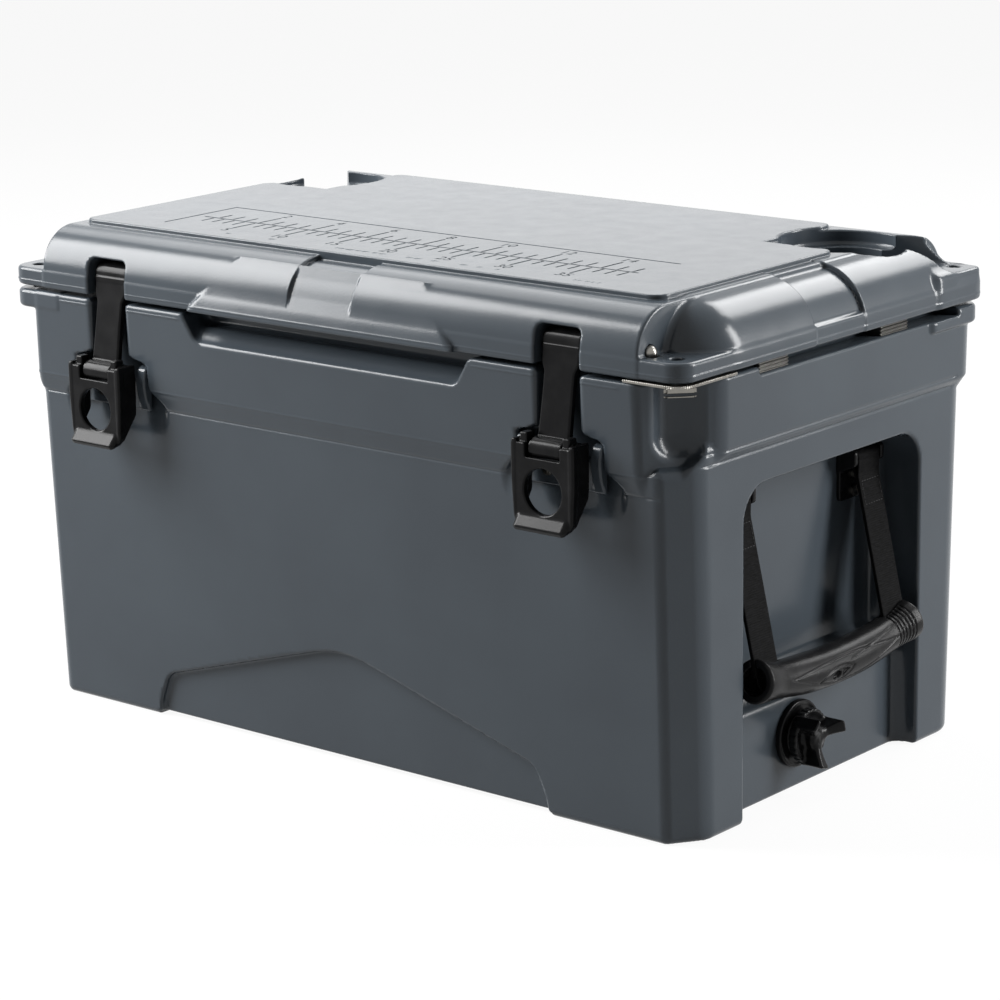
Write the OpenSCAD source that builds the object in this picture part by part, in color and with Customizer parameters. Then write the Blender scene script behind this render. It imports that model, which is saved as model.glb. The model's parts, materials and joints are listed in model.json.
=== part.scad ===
// Hard-sided picnic cooler: double-skinned moulded body and lid, two over-centre
// latches, a swinging handle in each end and a screw-out drain plug.
// X runs along the length, Y from front to back, Z up. The part stands on z = 0.

/* [Body] */
// Length of the body at its foot
base_l = 582; // [540:2:640]
// Width of the body, front to back, at its foot
base_w = 317; // [300:1:350]
// Height of the body rim above the ground
rim_z = 301; // [290:1:330]
// How far the end walls lean out, per mm of height
lean_x = 0.005; // [0:0.001:0.01]
// How far the front and back walls lean out, per mm of height
lean_y = 0.03; // [0.02:0.002:0.034]
// Radius of the body's upright corners
corner_r = 26; // [20:1:32]
// Thickness of the moulded skins
skin = 6; // [5:0.5:7]
// Height of the front and back edges above the ground
edge_lift = 3; // [1:0.5:5]
// How far the front and back edge lift reaches under the body
edge_reach = 16; // [8:1:24]

/* [Skirt] */
// How far the upper skirt stands proud of the walls
skirt_proud = 3.5; // [2:0.5:5]
// Height of the skirt's lower edge on the front and back
front_belt_z = 229; // [222:1:234]
// Height of the bevel under the front and back skirt
front_bevel = 12; // [6:1:14]
// Height of the skirt's lower edge on the ends
end_belt_z = 247; // [244:1:256]
// Height of the bevel under the end skirt
end_bevel = 5; // [3:0.5:8]
// Size of the skirt's corner chamfer
skirt_chamfer = 40; // [34:1:44]
// Radius of the upright scoop in each corner
scoop_r = 19; // [15:1:21]
// Depth of the corner scoop below the chamfer
scoop_depth = 9; // [6:0.5:10]
// Height of the scoop's round foot
scoop_z = 266; // [258:1:270]

/* [Inside] */
// Thickness from the end wall's foot to the cold space at the rim
end_wall = 77; // [74:1:90]
// Thickness from the front wall's foot to the cold space at the rim
side_wall = 35.5; // [33.5:0.5:48]
// How far the cold space narrows on each side towards its floor
cavity_taper = 8; // [4:1:12]
// Height of the cold space's floor above the ground
floor_z = 36; // [30:1:38]
// Radius of the cold space's upright corners
cavity_r = 24; // [16:1:30]

/* [Front panel] */
// Half of the arched panel's length at the ground
arch_half_l = 180; // [150:1:200]
// Half of the arched panel's length at its shoulders
arch_shoulder = 168; // [140:1:190]
// Height of the arched panel's shoulders
arch_shoulder_z = 33; // [24:1:42]
// Height of the arched panel's peak
arch_peak_z = 80; // [60:1:110]
// Depth of the arched panel
arch_depth = 4; // [2:0.5:4.5]

/* [Lid] */
// How far the lid's end faces stand out past the walls at the rim
lid_end_over = 6; // [5.5:0.25:8]
// How far the lid's front and back faces stand out past the walls at the rim
lid_side_over = 3.4; // [3.4:0.1:6]
// Height of the lid from its lower edge to the top panel
lid_h = 46; // [44:1:54]
// Gap between the body rim and the lid
seal_gap = 3; // [2:0.25:4]
// Radius of the rolled shoulder along the front and back
roll_r = 30; // [27:0.5:32]
// Radius of the rolled shoulder at the ends
end_roll_r = 38; // [34:1:40]
// Height of the raised panel on top of the lid
panel_h = 3.5; // [2:0.5:4]
// Inset of the raised panel from the lid's front face
panel_inset = 34; // [32:1:38]
// Inset of the raised panel from the lid's end faces
panel_end_inset = 42; // [40:1:48]
// Thickness of the padlock tabs at the lid's corners
tab_t = 13; // [11:0.5:14]
// Length of a lid tab along the front
tab_l = 34; // [30:1:38]
// Width of a lid tab along the end
tab_w = 64; // [56:1:70]
// Depth of the corner notch behind the lid's front face
notch_d = 26; // [24:1:30]
// Depth of the lid's inner plug below the lid's lower edge
plug_d = 13; // [8:1:16]
// Clearance between the lid's inner plug and the cold space
plug_gap = 4; // [3:0.5:6]
// Half width of the shallow valleys in the rolled shoulder
valley_half = 28; // [20:1:34]
// Depth of the valleys
valley_d = 3; // [1:0.5:4]

/* [Front lip] */
// Half length of the lid's grip lip at its lower edge
lip_half = 121; // [100:1:130]
// How far the ends of the grip lip slope in
lip_slope = 17; // [8:1:24]
// How far the grip lip stands out from the lid's front
lip_proud = 6; // [3:0.5:8]
// Height of the grip lip
lip_h = 19; // [14:1:21]
// Depth of the finger hollow under the grip lip
finger_d = 15; // [10:0.5:15.5]
// Height of the finger hollow cut into the body rim
finger_h = 19; // [14:1:22]

/* [Cup holders] */
// Distance of each cup holder's middle from the lid's end face
cup_end_in = 64.5; // [61:0.5:70]
// Distance of each cup holder's middle from the lid's back face
cup_back_in = 75; // [71:1:82]
// Radius of a cup holder
cup_r = 43; // [38:0.5:44]
// Depth of a cup holder's ledge
cup_ledge = 13; // [8:1:16]
// Depth of a cup holder's floor
cup_depth = 24; // [18:1:26]
// Radius of a cup holder's floor
cup_floor_r = 35; // [28:0.5:36]
// Width of the drain slot in a cup holder's rim
cup_slot = 34; // [20:1:40]

/* [Ruler] */
// Length of the ruler scale
ruler_l = 400; // [300:5:420]
// Distance of the ruler's middle line from the lid's front face
ruler_in = 90; // [87:1:97]
// Width of the ruler's engraved frame
ruler_w = 73; // [60:1:76]
// Depth of the engraving
engrave_d = 1; // [0.5:0.1:1.5]
// Width of the engraved frame line
engrave_w = 2; // [1:0.25:3]

/* [Hinge] */
// Diameter of the hinge rods
hinge_rod_d = 6; // [5:0.5:6.5]
// Radius of the hinge knuckles
knuckle_r = 7; // [6:0.25:7.25]
// Height of the hinge axis above the body rim
hinge_up = 8; // [7.5:0.25:9]
// Distance of each hinge's middle from the lid's end face
hinge_in = 138.5; // [118.5:5:178.5]
// Width of a knuckle
knuckle_w = 20; // [16:1:24]
// Gap between neighbouring knuckles
knuckle_gap = 1; // [0.5:0.25:1.5]

/* [Latches] */
// Distance of each latch from the lid's end face
latch_in = 97.5; // [94:0.5:108]
// Diameter of the latch rods in the lid
latch_rod_d = 5; // [4:0.5:6]
// Distance of the latch rods behind the lid's front face
latch_rod_in = 13; // [12:0.5:14]
// Height of the latch rods above the lid's lower edge
latch_rod_up = 15; // [13:0.5:17]
// Half width of a latch strap
strap_half = 13; // [11:0.5:14]
// Half width of the strap's upper barrel
strap_head_half = 15.5; // [14:0.5:16]
// Thickness of a latch strap
strap_t = 5; // [4:0.5:6]
// Height of the lever pin above the ground
lever_z = 253; // [249:1:256]
// Distance of the lever pin in front of the lid's front face
lever_out = 7; // [6:0.5:9]
// Diameter of the lever pins
lever_pin_d = 5; // [4:0.5:6]
// Half width of a latch lever
lever_half = 25; // [22:0.5:27]
// Length of a lever below its pin
lever_l = 50; // [44:1:54]
// Radius of the finger hole in a lever
lever_hole_r = 15; // [12:0.5:16]
// Depth of the latch channel in the skirt
channel_d = 12; // [11.5:0.25:13]

/* [Ends] */
// Distance from a webbing leg's middle to the pocket's jamb
leg_in_pocket = 27; // [24:1:30]
// Distance of the handle pocket's middle behind the body's middle
pocket_y = 4; // [0:1:6]
// Height of the handle pocket's ceiling
pocket_top = 224; // [212:1:228]
// Radius of the pocket's upper corners
pocket_r = 24; // [16:1:30]
// Depth of the pocket behind the handle
pocket_d = 37; // [34:1:38]
// Depth of the pocket around the drain
pocket_low_d = 17; // [14:1:20]
// Height at which the pocket starts to deepen
ramp_z = 66; // [64:1:72]
// Height over which the pocket deepens
ramp_h = 34; // [26:1:44]
// Depth of the rim relief above each end
relief_d = 5; // [3:0.5:6]
// Distance of the front wear plate in front of the middle
wear_front = 67; // [60:1:74]
// Distance of the rear wear plate behind the middle
wear_rear = 70; // [62:1:90]
// Half of a wear plate's length
wear_half = 16; // [12:1:20]

/* [Handles] */
// Width of the webbing
web_w = 25; // [20:1:30]
// Thickness of the webbing
web_t = 3; // [2:0.5:3.5]
// Distance between the two webbing legs
web_span = 148; // [130:2:156]
// Height of the bars that the webbing loops round
bar_z = 208; // [200:1:210]
// Diameter of the bars
bar_d = 6; // [5:0.5:7]
// Height of the handle grip's middle
grip_z = 84; // [82:1:90]
// Diameter of the handle grip
grip_d = 30; // [26:1:32]
// How far the grip's middle sags below its ends
grip_sag = 10; // [6:1:14]
// Distance of the grip's middle outside the end wall's foot
grip_out = -1; // [-2:0.5:2]

/* [Drain] */
// Height of the drain above the ground
drain_z = 38; // [36:0.5:42]
// Distance of the drain in front of the body's middle
drain_y = 15; // [8:1:28]
// Radius of the drain bore
drain_bore_r = 7.5; // [6:0.25:8]
// Outside radius of the drain tube
drain_tube_r = 11; // [10:0.5:12]
// Radius of the drain's outer flange
drain_flange_r = 23; // [20:0.5:24]
// Thickness of the drain's outer flange
drain_flange_t = 4; // [3:0.5:5]
// Radius of the drain plug's head
plug_head_r = 18.5; // [16:0.5:19]

/* [Fasteners and metal] */
// Thickness of the corner plate
plate_t = 2; // [1.5:0.25:2.25]
// Length of the corner plate along the front
plate_l = 46; // [40:1:50]
// Width of the corner plate along the end
plate_w = 58; // [50:1:64]
// Diameter of the padlock holes
padlock_d = 9; // [7:0.5:10]
// Diameter of the small screws' shanks
screw_d = 4; // [3:0.5:5]

/* [Hidden] */

$fn = 64;
hull_fn = 32;             // facets of a rounded corner inside a hull
e = 0.01;                 // overlap that keeps cuts clean
fit = 0.3;                // clearance round the foam blocks
run = 0.06;               // radial running clearance of a pin
slip = 1;                 // clearance beside a moving piece
wear_gap = 2.5;           // clearance in front of a wear plate
sheet = 0.2;              // thickness of a hull's end slices

body_colour = "#5d6b76";
black = "#1b1c1e";
steel = "#c9ccce";
foam_colour = "#e9dfb8";

function half_x(z) = base_l / 2 + lean_x * z;
function half_y(z) = base_w / 2 + lean_y * z;

skirt_y = half_y(rim_z) + skirt_proud;
skirt_x = half_x(rim_z) + skirt_proud;
lid_z = rim_z + seal_gap;
top_z = lid_z + lid_h;
deck_z = top_z - panel_h;
lid_x = half_x(rim_z) + lid_end_over;
lid_y = half_y(rim_z) + lid_side_over;
cavity_l = base_l - 2 * end_wall;
cavity_w = base_w - 2 * side_wall;
cup_x = lid_x - cup_end_in;
cup_y = lid_y - cup_back_in;
ruler_y = lid_y - ruler_in;
hinge_x = lid_x - hinge_in;
latch_x = lid_x - latch_in;
notch_x = lid_x - tab_l;
hinge_y = lid_y - 3;
hinge_z = rim_z + hinge_up;
rod_y = -lid_y + latch_rod_in;
rod_z = lid_z + latch_rod_up;
lever_y = -lid_y - lever_out;
channel_y = -(skirt_y - channel_d);
channel_top = rod_z + 11;
strap_head_r = 8;
latch_head_r = 4.5;
lever_barrel_r = 7;
pocket_x = half_x(0) - pocket_d;
pocket_low_x = half_x(0) - pocket_low_d;
anchor_y = web_span / 2;
pocket_w = web_span + 2 * leg_in_pocket;
anchor_t = 3;
bar_x = pocket_x + anchor_t + slip + web_t + fit + bar_d / 2;
drain_nut_r = drain_tube_r + 5;
sump_half = drain_nut_r + 3;
hinge_half = 2.5 * knuckle_w + 2 * knuckle_gap;
keeper_t = 3;
keeper_face_y = -half_y(front_belt_z) + 1 - keeper_t;
keeper_half = lever_half + 9;
keeper_foot_z = lever_z - 28;
keeper_hole_x = 10;
keeper_hole_z = lever_z - 16;
keeper_screw_l = 12;
anchor_foot_z = bar_z - 31;
anchor_head_z = bar_z + 10;
anchor_hole_z = [bar_z - 14, bar_z - 26];
anchor_screw_l = 8;
corner_screw_l = 10;
plug_stem_l = 45;
grip_x = half_x(0) + grip_out;
cavity_low_x = cavity_l / 2 - cavity_taper;

// ---- helpers -------------------------------------------------------------------

// Flat slab with round upright corners, centred on x, from y0 to y1.
module slab(hx, y0, y1, r, z, h) {
    translate([0, 0, z]) linear_extrude(h) {
        translate([-hx + r, y0]) square([2 * (hx - r), y1 - y0]);
        translate([-hx, y0 + r]) square([2 * hx, y1 - y0 - 2 * r]);
        for (x = [-hx + r, hx - r], y = [y0 + r, y1 - r]) translate([x, y]) circle(r);
    }
}

// The four upright corner posts of a rounded block, for use inside hull().
module posts(hx, y0, y1, r, z) {
    for (x = [-hx + r, hx - r], y = [y0 + r, y1 - r])
        translate([x, y, z]) cylinder(r = r, h = sheet, $fn = hull_fn);
}

// Flat eight-sided slab with chamfered corners.
module chamfered(hx, hy, c, z, h) {
    translate([0, 0, z]) linear_extrude(h) polygon([
        [-hx + c, -hy], [hx - c, -hy], [hx, -hy + c], [hx, hy - c],
        [hx - c, hy], [-hx + c, hy], [-hx, hy - c], [-hx, -hy + c]]);
}

// Rod along X from x0 to x1.
module rod_x(r, x0, x1, y, z) {
    translate([x0, y, z]) rotate([0, 90, 0]) cylinder(r = r, h = x1 - x0);
}

// Box given by its low and high corners.
module block(low, high) { translate(low) cube(high - low); }

module mirror_x() { children(); mirror([1, 0, 0]) children(); }
module mirror_y() { children(); mirror([0, 1, 0]) children(); }

// YZ outline extruded along X between x0 and x1.
module along_x(x0, x1) {
    translate([x0, 0, 0]) rotate([90, 0, 90]) linear_extrude(x1 - x0) children();
}

// XZ outline extruded along Y between y0 and y1.
module along_y(y0, y1) {
    translate([0, y1, 0]) rotate([90, 0, 0]) linear_extrude(y1 - y0) children();
}

// ---- body ----------------------------------------------------------------------

// Proud band along the front and back.
module front_skirt() {
    low_top = front_belt_z + front_bevel;
    hull() {
        chamfered(half_x(front_belt_z), half_y(front_belt_z), skirt_chamfer, front_belt_z, sheet);
        chamfered(half_x(low_top), half_y(low_top) + skirt_proud, skirt_chamfer, low_top, sheet);
        chamfered(half_x(rim_z), skirt_y, skirt_chamfer, rim_z - sheet, sheet);
    }
}

// Proud band along the ends.
module end_skirt() {
    hull() {
        chamfered(half_x(end_belt_z), half_y(end_belt_z), skirt_chamfer, end_belt_z, sheet);
        chamfered(half_x(end_belt_z + end_bevel) + skirt_proud, half_y(end_belt_z),
            skirt_chamfer, end_belt_z + end_bevel, sheet);
        chamfered(skirt_x, half_y(rim_z), skirt_chamfer, rim_z - sheet, sheet);
    }
}

module body_outer() {
    low_top = front_belt_z + front_bevel;
    hull() {
        posts(half_x(0), -half_y(0), half_y(0), corner_r, 0);
        posts(half_x(low_top), -half_y(low_top), half_y(low_top), corner_r, low_top - sheet);
    }
    front_skirt();
    end_skirt();
    hinge_webs();
}

// Rim tabs under the lid's padlock tabs; the right front corner has the steel plate.
module rim_tabs() {
    reach = half_x(rim_z) + skirt_y - skirt_chamfer - 2;
    color(body_colour) difference() {
        slab(lid_x, -lid_y, lid_y, 14, rim_z - tab_t, tab_t);
        translate([0, 0, rim_z - tab_t - 1]) linear_extrude(tab_t + 2) polygon([
            [-reach, 0], [0, -reach], [lid_x + 1, lid_x + 1 - reach], [lid_x + 1, reach - lid_x - 1],
            [0, reach]]);
        front_skirt();
        end_skirt();
        block([0, -lid_y - 1, rim_z - tab_t - 1], [lid_x + 1, 0, rim_z + 1]);
        padlock_holes(rim_z - tab_t - 1, rim_z + 1);
    }
}

module knuckle_slots() {
    for (s = [-1, 1], k = [-2, 0, 2])
        translate([s * hinge_x + k * (knuckle_w + knuckle_gap), 0, 0])
            children();
}

module hinge_webs() {
    knuckle_slots() along_x(-knuckle_w / 2, knuckle_w / 2) {
        translate([hinge_y, hinge_z]) circle(knuckle_r);
        polygon([[hinge_y - knuckle_r, hinge_z], [hinge_y + knuckle_r, hinge_z],
            [hinge_y + knuckle_r, rim_z - 4], [half_y(rim_z) - e, rim_z - 16],
            [hinge_y - knuckle_r, rim_z - 16]]);
    }
}

module cavity(grow, z0, z1) {
    hx = cavity_l / 2 + grow;
    hy = cavity_w / 2 + grow;
    hull() {
        posts(hx - cavity_taper, -hy + cavity_taper, hy - cavity_taper, cavity_r, z0);
        posts(hx, -hy, hy, cavity_r, z1 - sheet);
    }
}

// Handle pocket in the right end, opened through the foot.
module pocket(grow) {
    hw = pocket_w / 2 + grow;
    top = pocket_top + grow;
    out = skirt_x + 10;
    intersection() {
        along_y(pocket_y - hw, pocket_y + hw) polygon([
            [out, -e], [pocket_low_x - grow, -e], [pocket_low_x - grow, ramp_z - grow],
            [pocket_x - grow, ramp_z + ramp_h - grow], [pocket_x - grow, top], [out, top]]);
        along_x(pocket_x - grow, out) translate([pocket_y, 0]) {
            translate([-hw, -e]) square([2 * hw, top - pocket_r + e]);
            translate([-hw + pocket_r, 0]) square([2 * (hw - pocket_r), top]);
            for (y = [-hw + pocket_r, hw - pocket_r]) translate([y, top - pocket_r]) circle(pocket_r);
        }
    }
}

// Hollow between the skins, which the foam fills.
module body_void(gap) {
    hx = half_x(0) - skin - gap;
    hy = half_y(0) - arch_depth - skin - gap;
    z0 = edge_lift + skin + gap;
    z1 = rim_z - 1.5 * skin - gap;
    wall = skin + gap;
    difference() {
        chamfered(hx, hy, skirt_chamfer + skin, z0, z1 - z0);
        slab(cavity_l / 2 + wall, -cavity_w / 2 - wall, cavity_w / 2 + wall, cavity_r,
             floor_z - wall, rim_z);
        mirror_x() pocket_block(wall);
        block([-lip_half - 12, -hy - e, rim_z - finger_h - 3 - wall],
            [lip_half + 12, -skirt_y + finger_d + wall, z1 + e]);
        grow_sump(wall);
    }
}

// Drain sump in the floor, with the wall round the drain's tube.
module grow_sump(grow) {
    block([cavity_low_x - 28 - grow, -drain_y - sump_half - grow, drain_z - sump_half - grow],
        [half_x(0), -drain_y + sump_half + grow, drain_z + sump_half + grow]);
}

// The pocket's plain bounding shape, for keeping the foam clear of it.
module pocket_block(grow) {
    hw = pocket_w / 2 + grow;
    along_y(pocket_y - hw, pocket_y + hw) polygon([
        [skirt_x + 10, -e], [pocket_low_x - grow, -e], [pocket_low_x - grow, ramp_z - grow],
        [pocket_x - grow, ramp_z + ramp_h - grow], [pocket_x - grow, pocket_top + grow],
        [skirt_x + 10, pocket_top + grow]]);
}

module latch_recess() {
    mouth = front_belt_z + front_bevel;
    foot = keeper_foot_z - 3;
    out = -lid_y - 20;
    wide = lever_half + 10;
    block([-strap_half - 4, out, mouth], [strap_half + 4, channel_y, rim_z + e]);
    along_y(out, -half_y(front_belt_z) + 1) polygon([
        [-wide, mouth + 22], [wide, mouth + 22], [wide, mouth + 9], [wide + 9, mouth],
        [wide + 22, foot], [-wide - 22, foot], [-wide - 9, mouth],
        [-wide, mouth + 9]]);
}

module arch_panel() {
    along_y(-half_y(arch_peak_z) - 5, -half_y(0) + arch_depth) polygon([
        [-arch_half_l, -1], [-arch_half_l, edge_lift], [-arch_shoulder, arch_shoulder_z],
        [-9, arch_peak_z], [9, arch_peak_z],
        [arch_shoulder, arch_shoulder_z], [arch_half_l, edge_lift], [arch_half_l, -1]]);
}

module finger_hollow() {
    z0 = rim_z - finger_h;
    intersection() {
        along_x(-lip_half - 8, lip_half + 8) polygon([
            [-lid_y - 10, z0 - 4], [-skirt_y, z0], [-skirt_y + finger_d, z0 + 9],
            [-skirt_y + finger_d, rim_z + 1], [-lid_y - 10, rim_z + 1]]);
        along_y(-lid_y - 20, 0) polygon([
            [-lip_half - 5, rim_z + 2], [-lip_half + 8, z0 - 5],
            [lip_half - 8, z0 - 5], [lip_half + 5, rim_z + 2]]);
    }
}

// Upright scoop in the right front corner, up to the given height.
module corner_scoop(top) {
    in = skirt_chamfer / 2;
    back = (scoop_r - scoop_depth) / sqrt(2);
    translate([half_x(rim_z) - in + back, -skirt_y + in - back, scoop_z]) {
        cylinder(r = scoop_r, h = top - scoop_z);
        sphere(scoop_r);
    }
}

module corner_scoops() {
    corner_scoop(rim_z + 1);
    mirror([0, 1, 0]) corner_scoop(rim_z - tab_t);
    mirror([1, 0, 0]) mirror_y() corner_scoop(rim_z - tab_t);
}

module rim_relief() {
    mirror_x() block([lid_x - 20, -wear_front - wear_half - wear_gap, rim_z - relief_d],
        [skirt_x + 5, lid_y - 30, rim_z + 1]);
}

module body_shell() {
    color(body_colour) difference() {
        body_outer();
        cavity(0, floor_z, rim_z + 1);
        block([cavity_low_x - 28, -drain_y - sump_half, drain_z - sump_half],
            [cavity_low_x, -drain_y + sump_half, floor_z + 1]);
        body_void(0);
        mirror_x() pocket(0);
        mirror_x() translate([latch_x, 0, 0]) latch_recess();
        arch_panel();
        mirror([0, 1, 0]) arch_panel();
        mirror_y() block([-arch_half_l, -half_y(0) - 5, -1],
            [arch_half_l, -half_y(0) + arch_depth + edge_reach, edge_lift]);
        finger_hollow();
        corner_scoops();
        rim_relief();
        rod_x(drain_tube_r + e, cavity_low_x - 20, skirt_x, -drain_y, drain_z);
        knuckle_slots() rod_x(hinge_rod_d / 2 + e, -knuckle_w, knuckle_w, hinge_y, hinge_z);
        mirror_x() keeper_screw_places() screw_hole(screw_d, keeper_screw_l);
        mirror_x() anchor_screw_places() screw_hole(screw_d, anchor_screw_l);
        corner_screw_places() screw_hole(screw_d, corner_screw_l);
    }
}

module padlock_holes(z0, z1) {
    mirror_x() mirror_y() translate([lid_x - 15, -lid_y + 15, z0])
        cylinder(d = padlock_d, h = z1 - z0);
}

// Blind hole for a screw that points along -Z of its own place.
module screw_hole(d, depth) { translate([0, 0, -depth]) cylinder(d = d, h = depth + 1); }

// Pan-head screw whose head sits on z = 0 and whose shank points along -Z.
module screw(d, depth) {
    translate([0, 0, -depth]) cylinder(d = d - 2 * e, h = depth);
    difference() {
        cylinder(d = 2 * d, h = 2);
        for (a = [0, 90]) rotate(a) translate([-d * 0.7, -0.5, 1]) cube([d * 1.4, 1, 2]);
    }
}

module body_foam() {
    color(foam_colour) body_void(fit);
}

// ---- lid -----------------------------------------------------------------------

// Outline (y, z) of the lid's cross-section, with a rolled shoulder front and back.
module rolled_profile(y0, y1, z0, z1, r) {
    for (y = [y0 + r, y1 - r]) translate([y, z1 - r]) intersection() {
        circle(r);
        translate([y < 0 ? -r : 0, 0]) square(r);
    }
    translate([y0, z0]) square([y1 - y0, z1 - r - z0]);
    translate([y0 + r, z0]) square([y1 - y0 - 2 * r, z1 - z0]);
}

// Lid block whose four upright corners and upper edges are rolled.
module rolled_block(hx, y0, y1, r, z0, z1) {
    hull() for (x = [-hx + r, hx - r], y = [y0 + r, y1 - r]) translate([x, y, 0]) {
        translate([0, 0, z0]) cylinder(r = r, h = z1 - r - z0, $fn = hull_fn);
        translate([0, 0, z1 - r]) rotate_extrude($fn = hull_fn) intersection() {
            circle(r, $fn = hull_fn);
            square(r);
        }
    }
}

// Shallow valley across a rolled shoulder, for a face at y = 0 facing -Y.
module valley(r, z1) {
    difference() {
        translate([-valley_half, -1, z1 - r]) cube([2 * valley_half, r + 1, r + 1]);
        rod_x(r - valley_d, -valley_half - 1, valley_half + 1, r, z1 - r);
    }
}

module lid_outer() {
    // The shoulder along the front and back, ending square at the corner notches
    along_x(-notch_x, notch_x) rolled_profile_2d();
    // The rolled ends, set back behind the corner notches
    rolled_block(lid_x, -lid_y + notch_d, lid_y - notch_d, end_roll_r, lid_z, deck_z);
    // Padlock tabs
    slab(lid_x, -lid_y, lid_y, 14, lid_z, tab_t);
    // Rear corner blocks
    difference() {
        slab(lid_x, lid_y - notch_d - 4, lid_y, 6, lid_z, tab_t + 19);
        translate([-notch_x, 0, 0]) block([0, 0, lid_z + tab_t], [2 * notch_x, lid_y + 1, top_z]);
    }
    // Raised top panel, narrower between the cup holders
    slab(lid_x - panel_end_inset, -lid_y + panel_inset, cup_y - cup_r + 2, 9, deck_z - 1, panel_h + 1);
    slab(cup_x - cup_r + 8, -lid_y + panel_inset, lid_y - panel_inset, 9, deck_z - 1, panel_h + 1);
    // Grip lip
    intersection() {
        along_y(-lid_y - lip_proud, -lid_y + roll_r) polygon([
            [-lip_half, lid_z], [lip_half, lid_z], [lip_half - lip_slope, lid_z + lip_h],
            [-lip_half + lip_slope, lid_z + lip_h]]);
        along_x(-lip_half, lip_half) polygon([
            [-lid_y - lip_proud, lid_z], [-lid_y + roll_r, lid_z], [-lid_y + roll_r, deck_z],
            [-lid_y + 4, lid_z + lip_h], [-lid_y - lip_proud, lid_z + lip_h - 4]]);
    }
}

module rolled_profile_2d() { rolled_profile(-lid_y, lid_y, lid_z, deck_z, roll_r); }

module lid_plug() {
    translate([0, 0, lid_z - plug_d]) slab(cavity_l / 2 - plug_gap, -cavity_w / 2 + plug_gap,
        cavity_w / 2 - plug_gap, cavity_r - plug_gap, 0, plug_d + 1);
}

module lid_void(gap) {
    z0 = lid_z - plug_d + skin + gap;
    z1 = deck_z - skin - gap;
    upper = lid_z + seal_gap + skin + gap;
    px = cavity_l / 2 - plug_gap - skin - gap;
    py = cavity_w / 2 - plug_gap - skin - gap;
    cup_in = cup_y - cup_r - skin - gap;
    cup_side = cup_x - cup_r - skin - gap;
    block([-px, -py, z0], [px, cup_in, z1]);
    block([-cup_side, cup_in - e, z0], [cup_side, py, z1]);
    block([-(lid_x - end_roll_r - 2 * skin - gap), -lid_y + roll_r + gap, upper],
        [lid_x - end_roll_r - 2 * skin - gap, cup_in, z1]);
    block([-cup_side, cup_in - e, upper], [cup_side, lid_y - roll_r - gap, z1]);
}

module latch_slot() {
    w = strap_head_half + 2.5;
    block([-w, -lid_y - 10, lid_z - 1], [w, rod_y + strap_head_r + 2, channel_top]);
}

module cup_holder() {
    translate([0, 0, top_z - cup_ledge]) cylinder(r = cup_r, h = cup_ledge + 1);
    translate([0, 0, top_z - cup_depth]) cylinder(r = cup_floor_r, h = cup_depth);
    rotate(45) translate([0, -cup_slot / 2, top_z - cup_ledge]) cube([60, cup_slot, cup_ledge + 1]);
}

module ruler_engraving() {
    z = top_z - engrave_d;
    y0 = -ruler_y - ruler_w / 2;
    y1 = -ruler_y + ruler_w / 2;
    block([-ruler_l / 2, y0, z], [-ruler_l / 2 + engrave_w, y1, top_z + 1]);
    block([-ruler_l / 2, y1 - engrave_w, z], [ruler_l / 2, y1, top_z + 1]);
    block([-ruler_l / 2, -ruler_y - engrave_w, z], [ruler_l / 2, -ruler_y + engrave_w, top_z + 1]);
}

module lid_knuckles() {
    for (s = [-1, 1], k = [-1, 1])
        translate([s * hinge_x + k * (knuckle_w + knuckle_gap), 0, 0])
            along_x(-knuckle_w / 2, knuckle_w / 2) {
                translate([hinge_y, hinge_z]) circle(knuckle_r);
                translate([hinge_y - knuckle_r - 6, hinge_z - (hinge_up - seal_gap)])
                    square([knuckle_r + 6, knuckle_r + hinge_up - seal_gap]);
            }
}

module lid_shell() {
    color(body_colour) difference() {
        union() {
            difference() {
                union() { lid_outer(); lid_plug(); }
                // Cut-outs for the whole run of each hinge
                mirror_x() block([hinge_x - hinge_half - 4, hinge_y - knuckle_r - 4, lid_z - 1],
                    [hinge_x + hinge_half + 4, lid_y + 1, hinge_z + knuckle_r + 3]);
            }
            lid_knuckles();
        }
        lid_void(0);
        mirror_x() translate([latch_x, 0, 0]) latch_slot();
        mirror_x() rod_x(latch_rod_d / 2 + e, latch_x - strap_head_half - 10, lid_x + 5, rod_y, rod_z);
        mirror_x() rod_x(latch_head_r + fit, notch_x, lid_x + 5, rod_y, rod_z);
        mirror_x() rod_x(hinge_rod_d / 2 + run, hinge_x - 3 * knuckle_w, hinge_x + 3 * knuckle_w,
                         hinge_y, hinge_z);
        mirror_x() translate([cup_x, cup_y, 0]) cup_holder();
        mirror_y() translate([0, -lid_y, 0]) valley(roll_r, deck_z);
        mirror_x() translate([lid_x, 0, 0]) rotate(90) valley(end_roll_r, deck_z);
        ruler_engraving();
        // Finger hollow under the grip lip
        block([-lip_half + 12, -lid_y - lip_proud + 4, lid_z - 1],
              [lip_half - 12, -lid_y + finger_d, lid_z + 6]);
        gasket_ring(fit, lid_z - 1, lid_z + seal_gap + fit);
        padlock_holes(lid_z - 1, lid_z + tab_t + 20);
    }
}

module lid_foam() {
    color(foam_colour) lid_void(fit);
}

module gasket_ring(gap, z0, z1) {
    inner = 4;
    width = 8;
    difference() {
        slab(cavity_l / 2 + inner + width + gap, -cavity_w / 2 - inner - width - gap,
            cavity_w / 2 + inner + width + gap, cavity_r + inner + width, z0, z1 - z0);
        slab(cavity_l / 2 + inner - gap, -cavity_w / 2 - inner + gap, cavity_w / 2 + inner - gap,
            cavity_r + inner, z0 - 1, z1 - z0 + 2);
    }
}

module lid_gasket() {
    color(black) gasket_ring(0, rim_z + fit, lid_z + seal_gap);
}

// ---- hinge and latches ---------------------------------------------------------

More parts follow.
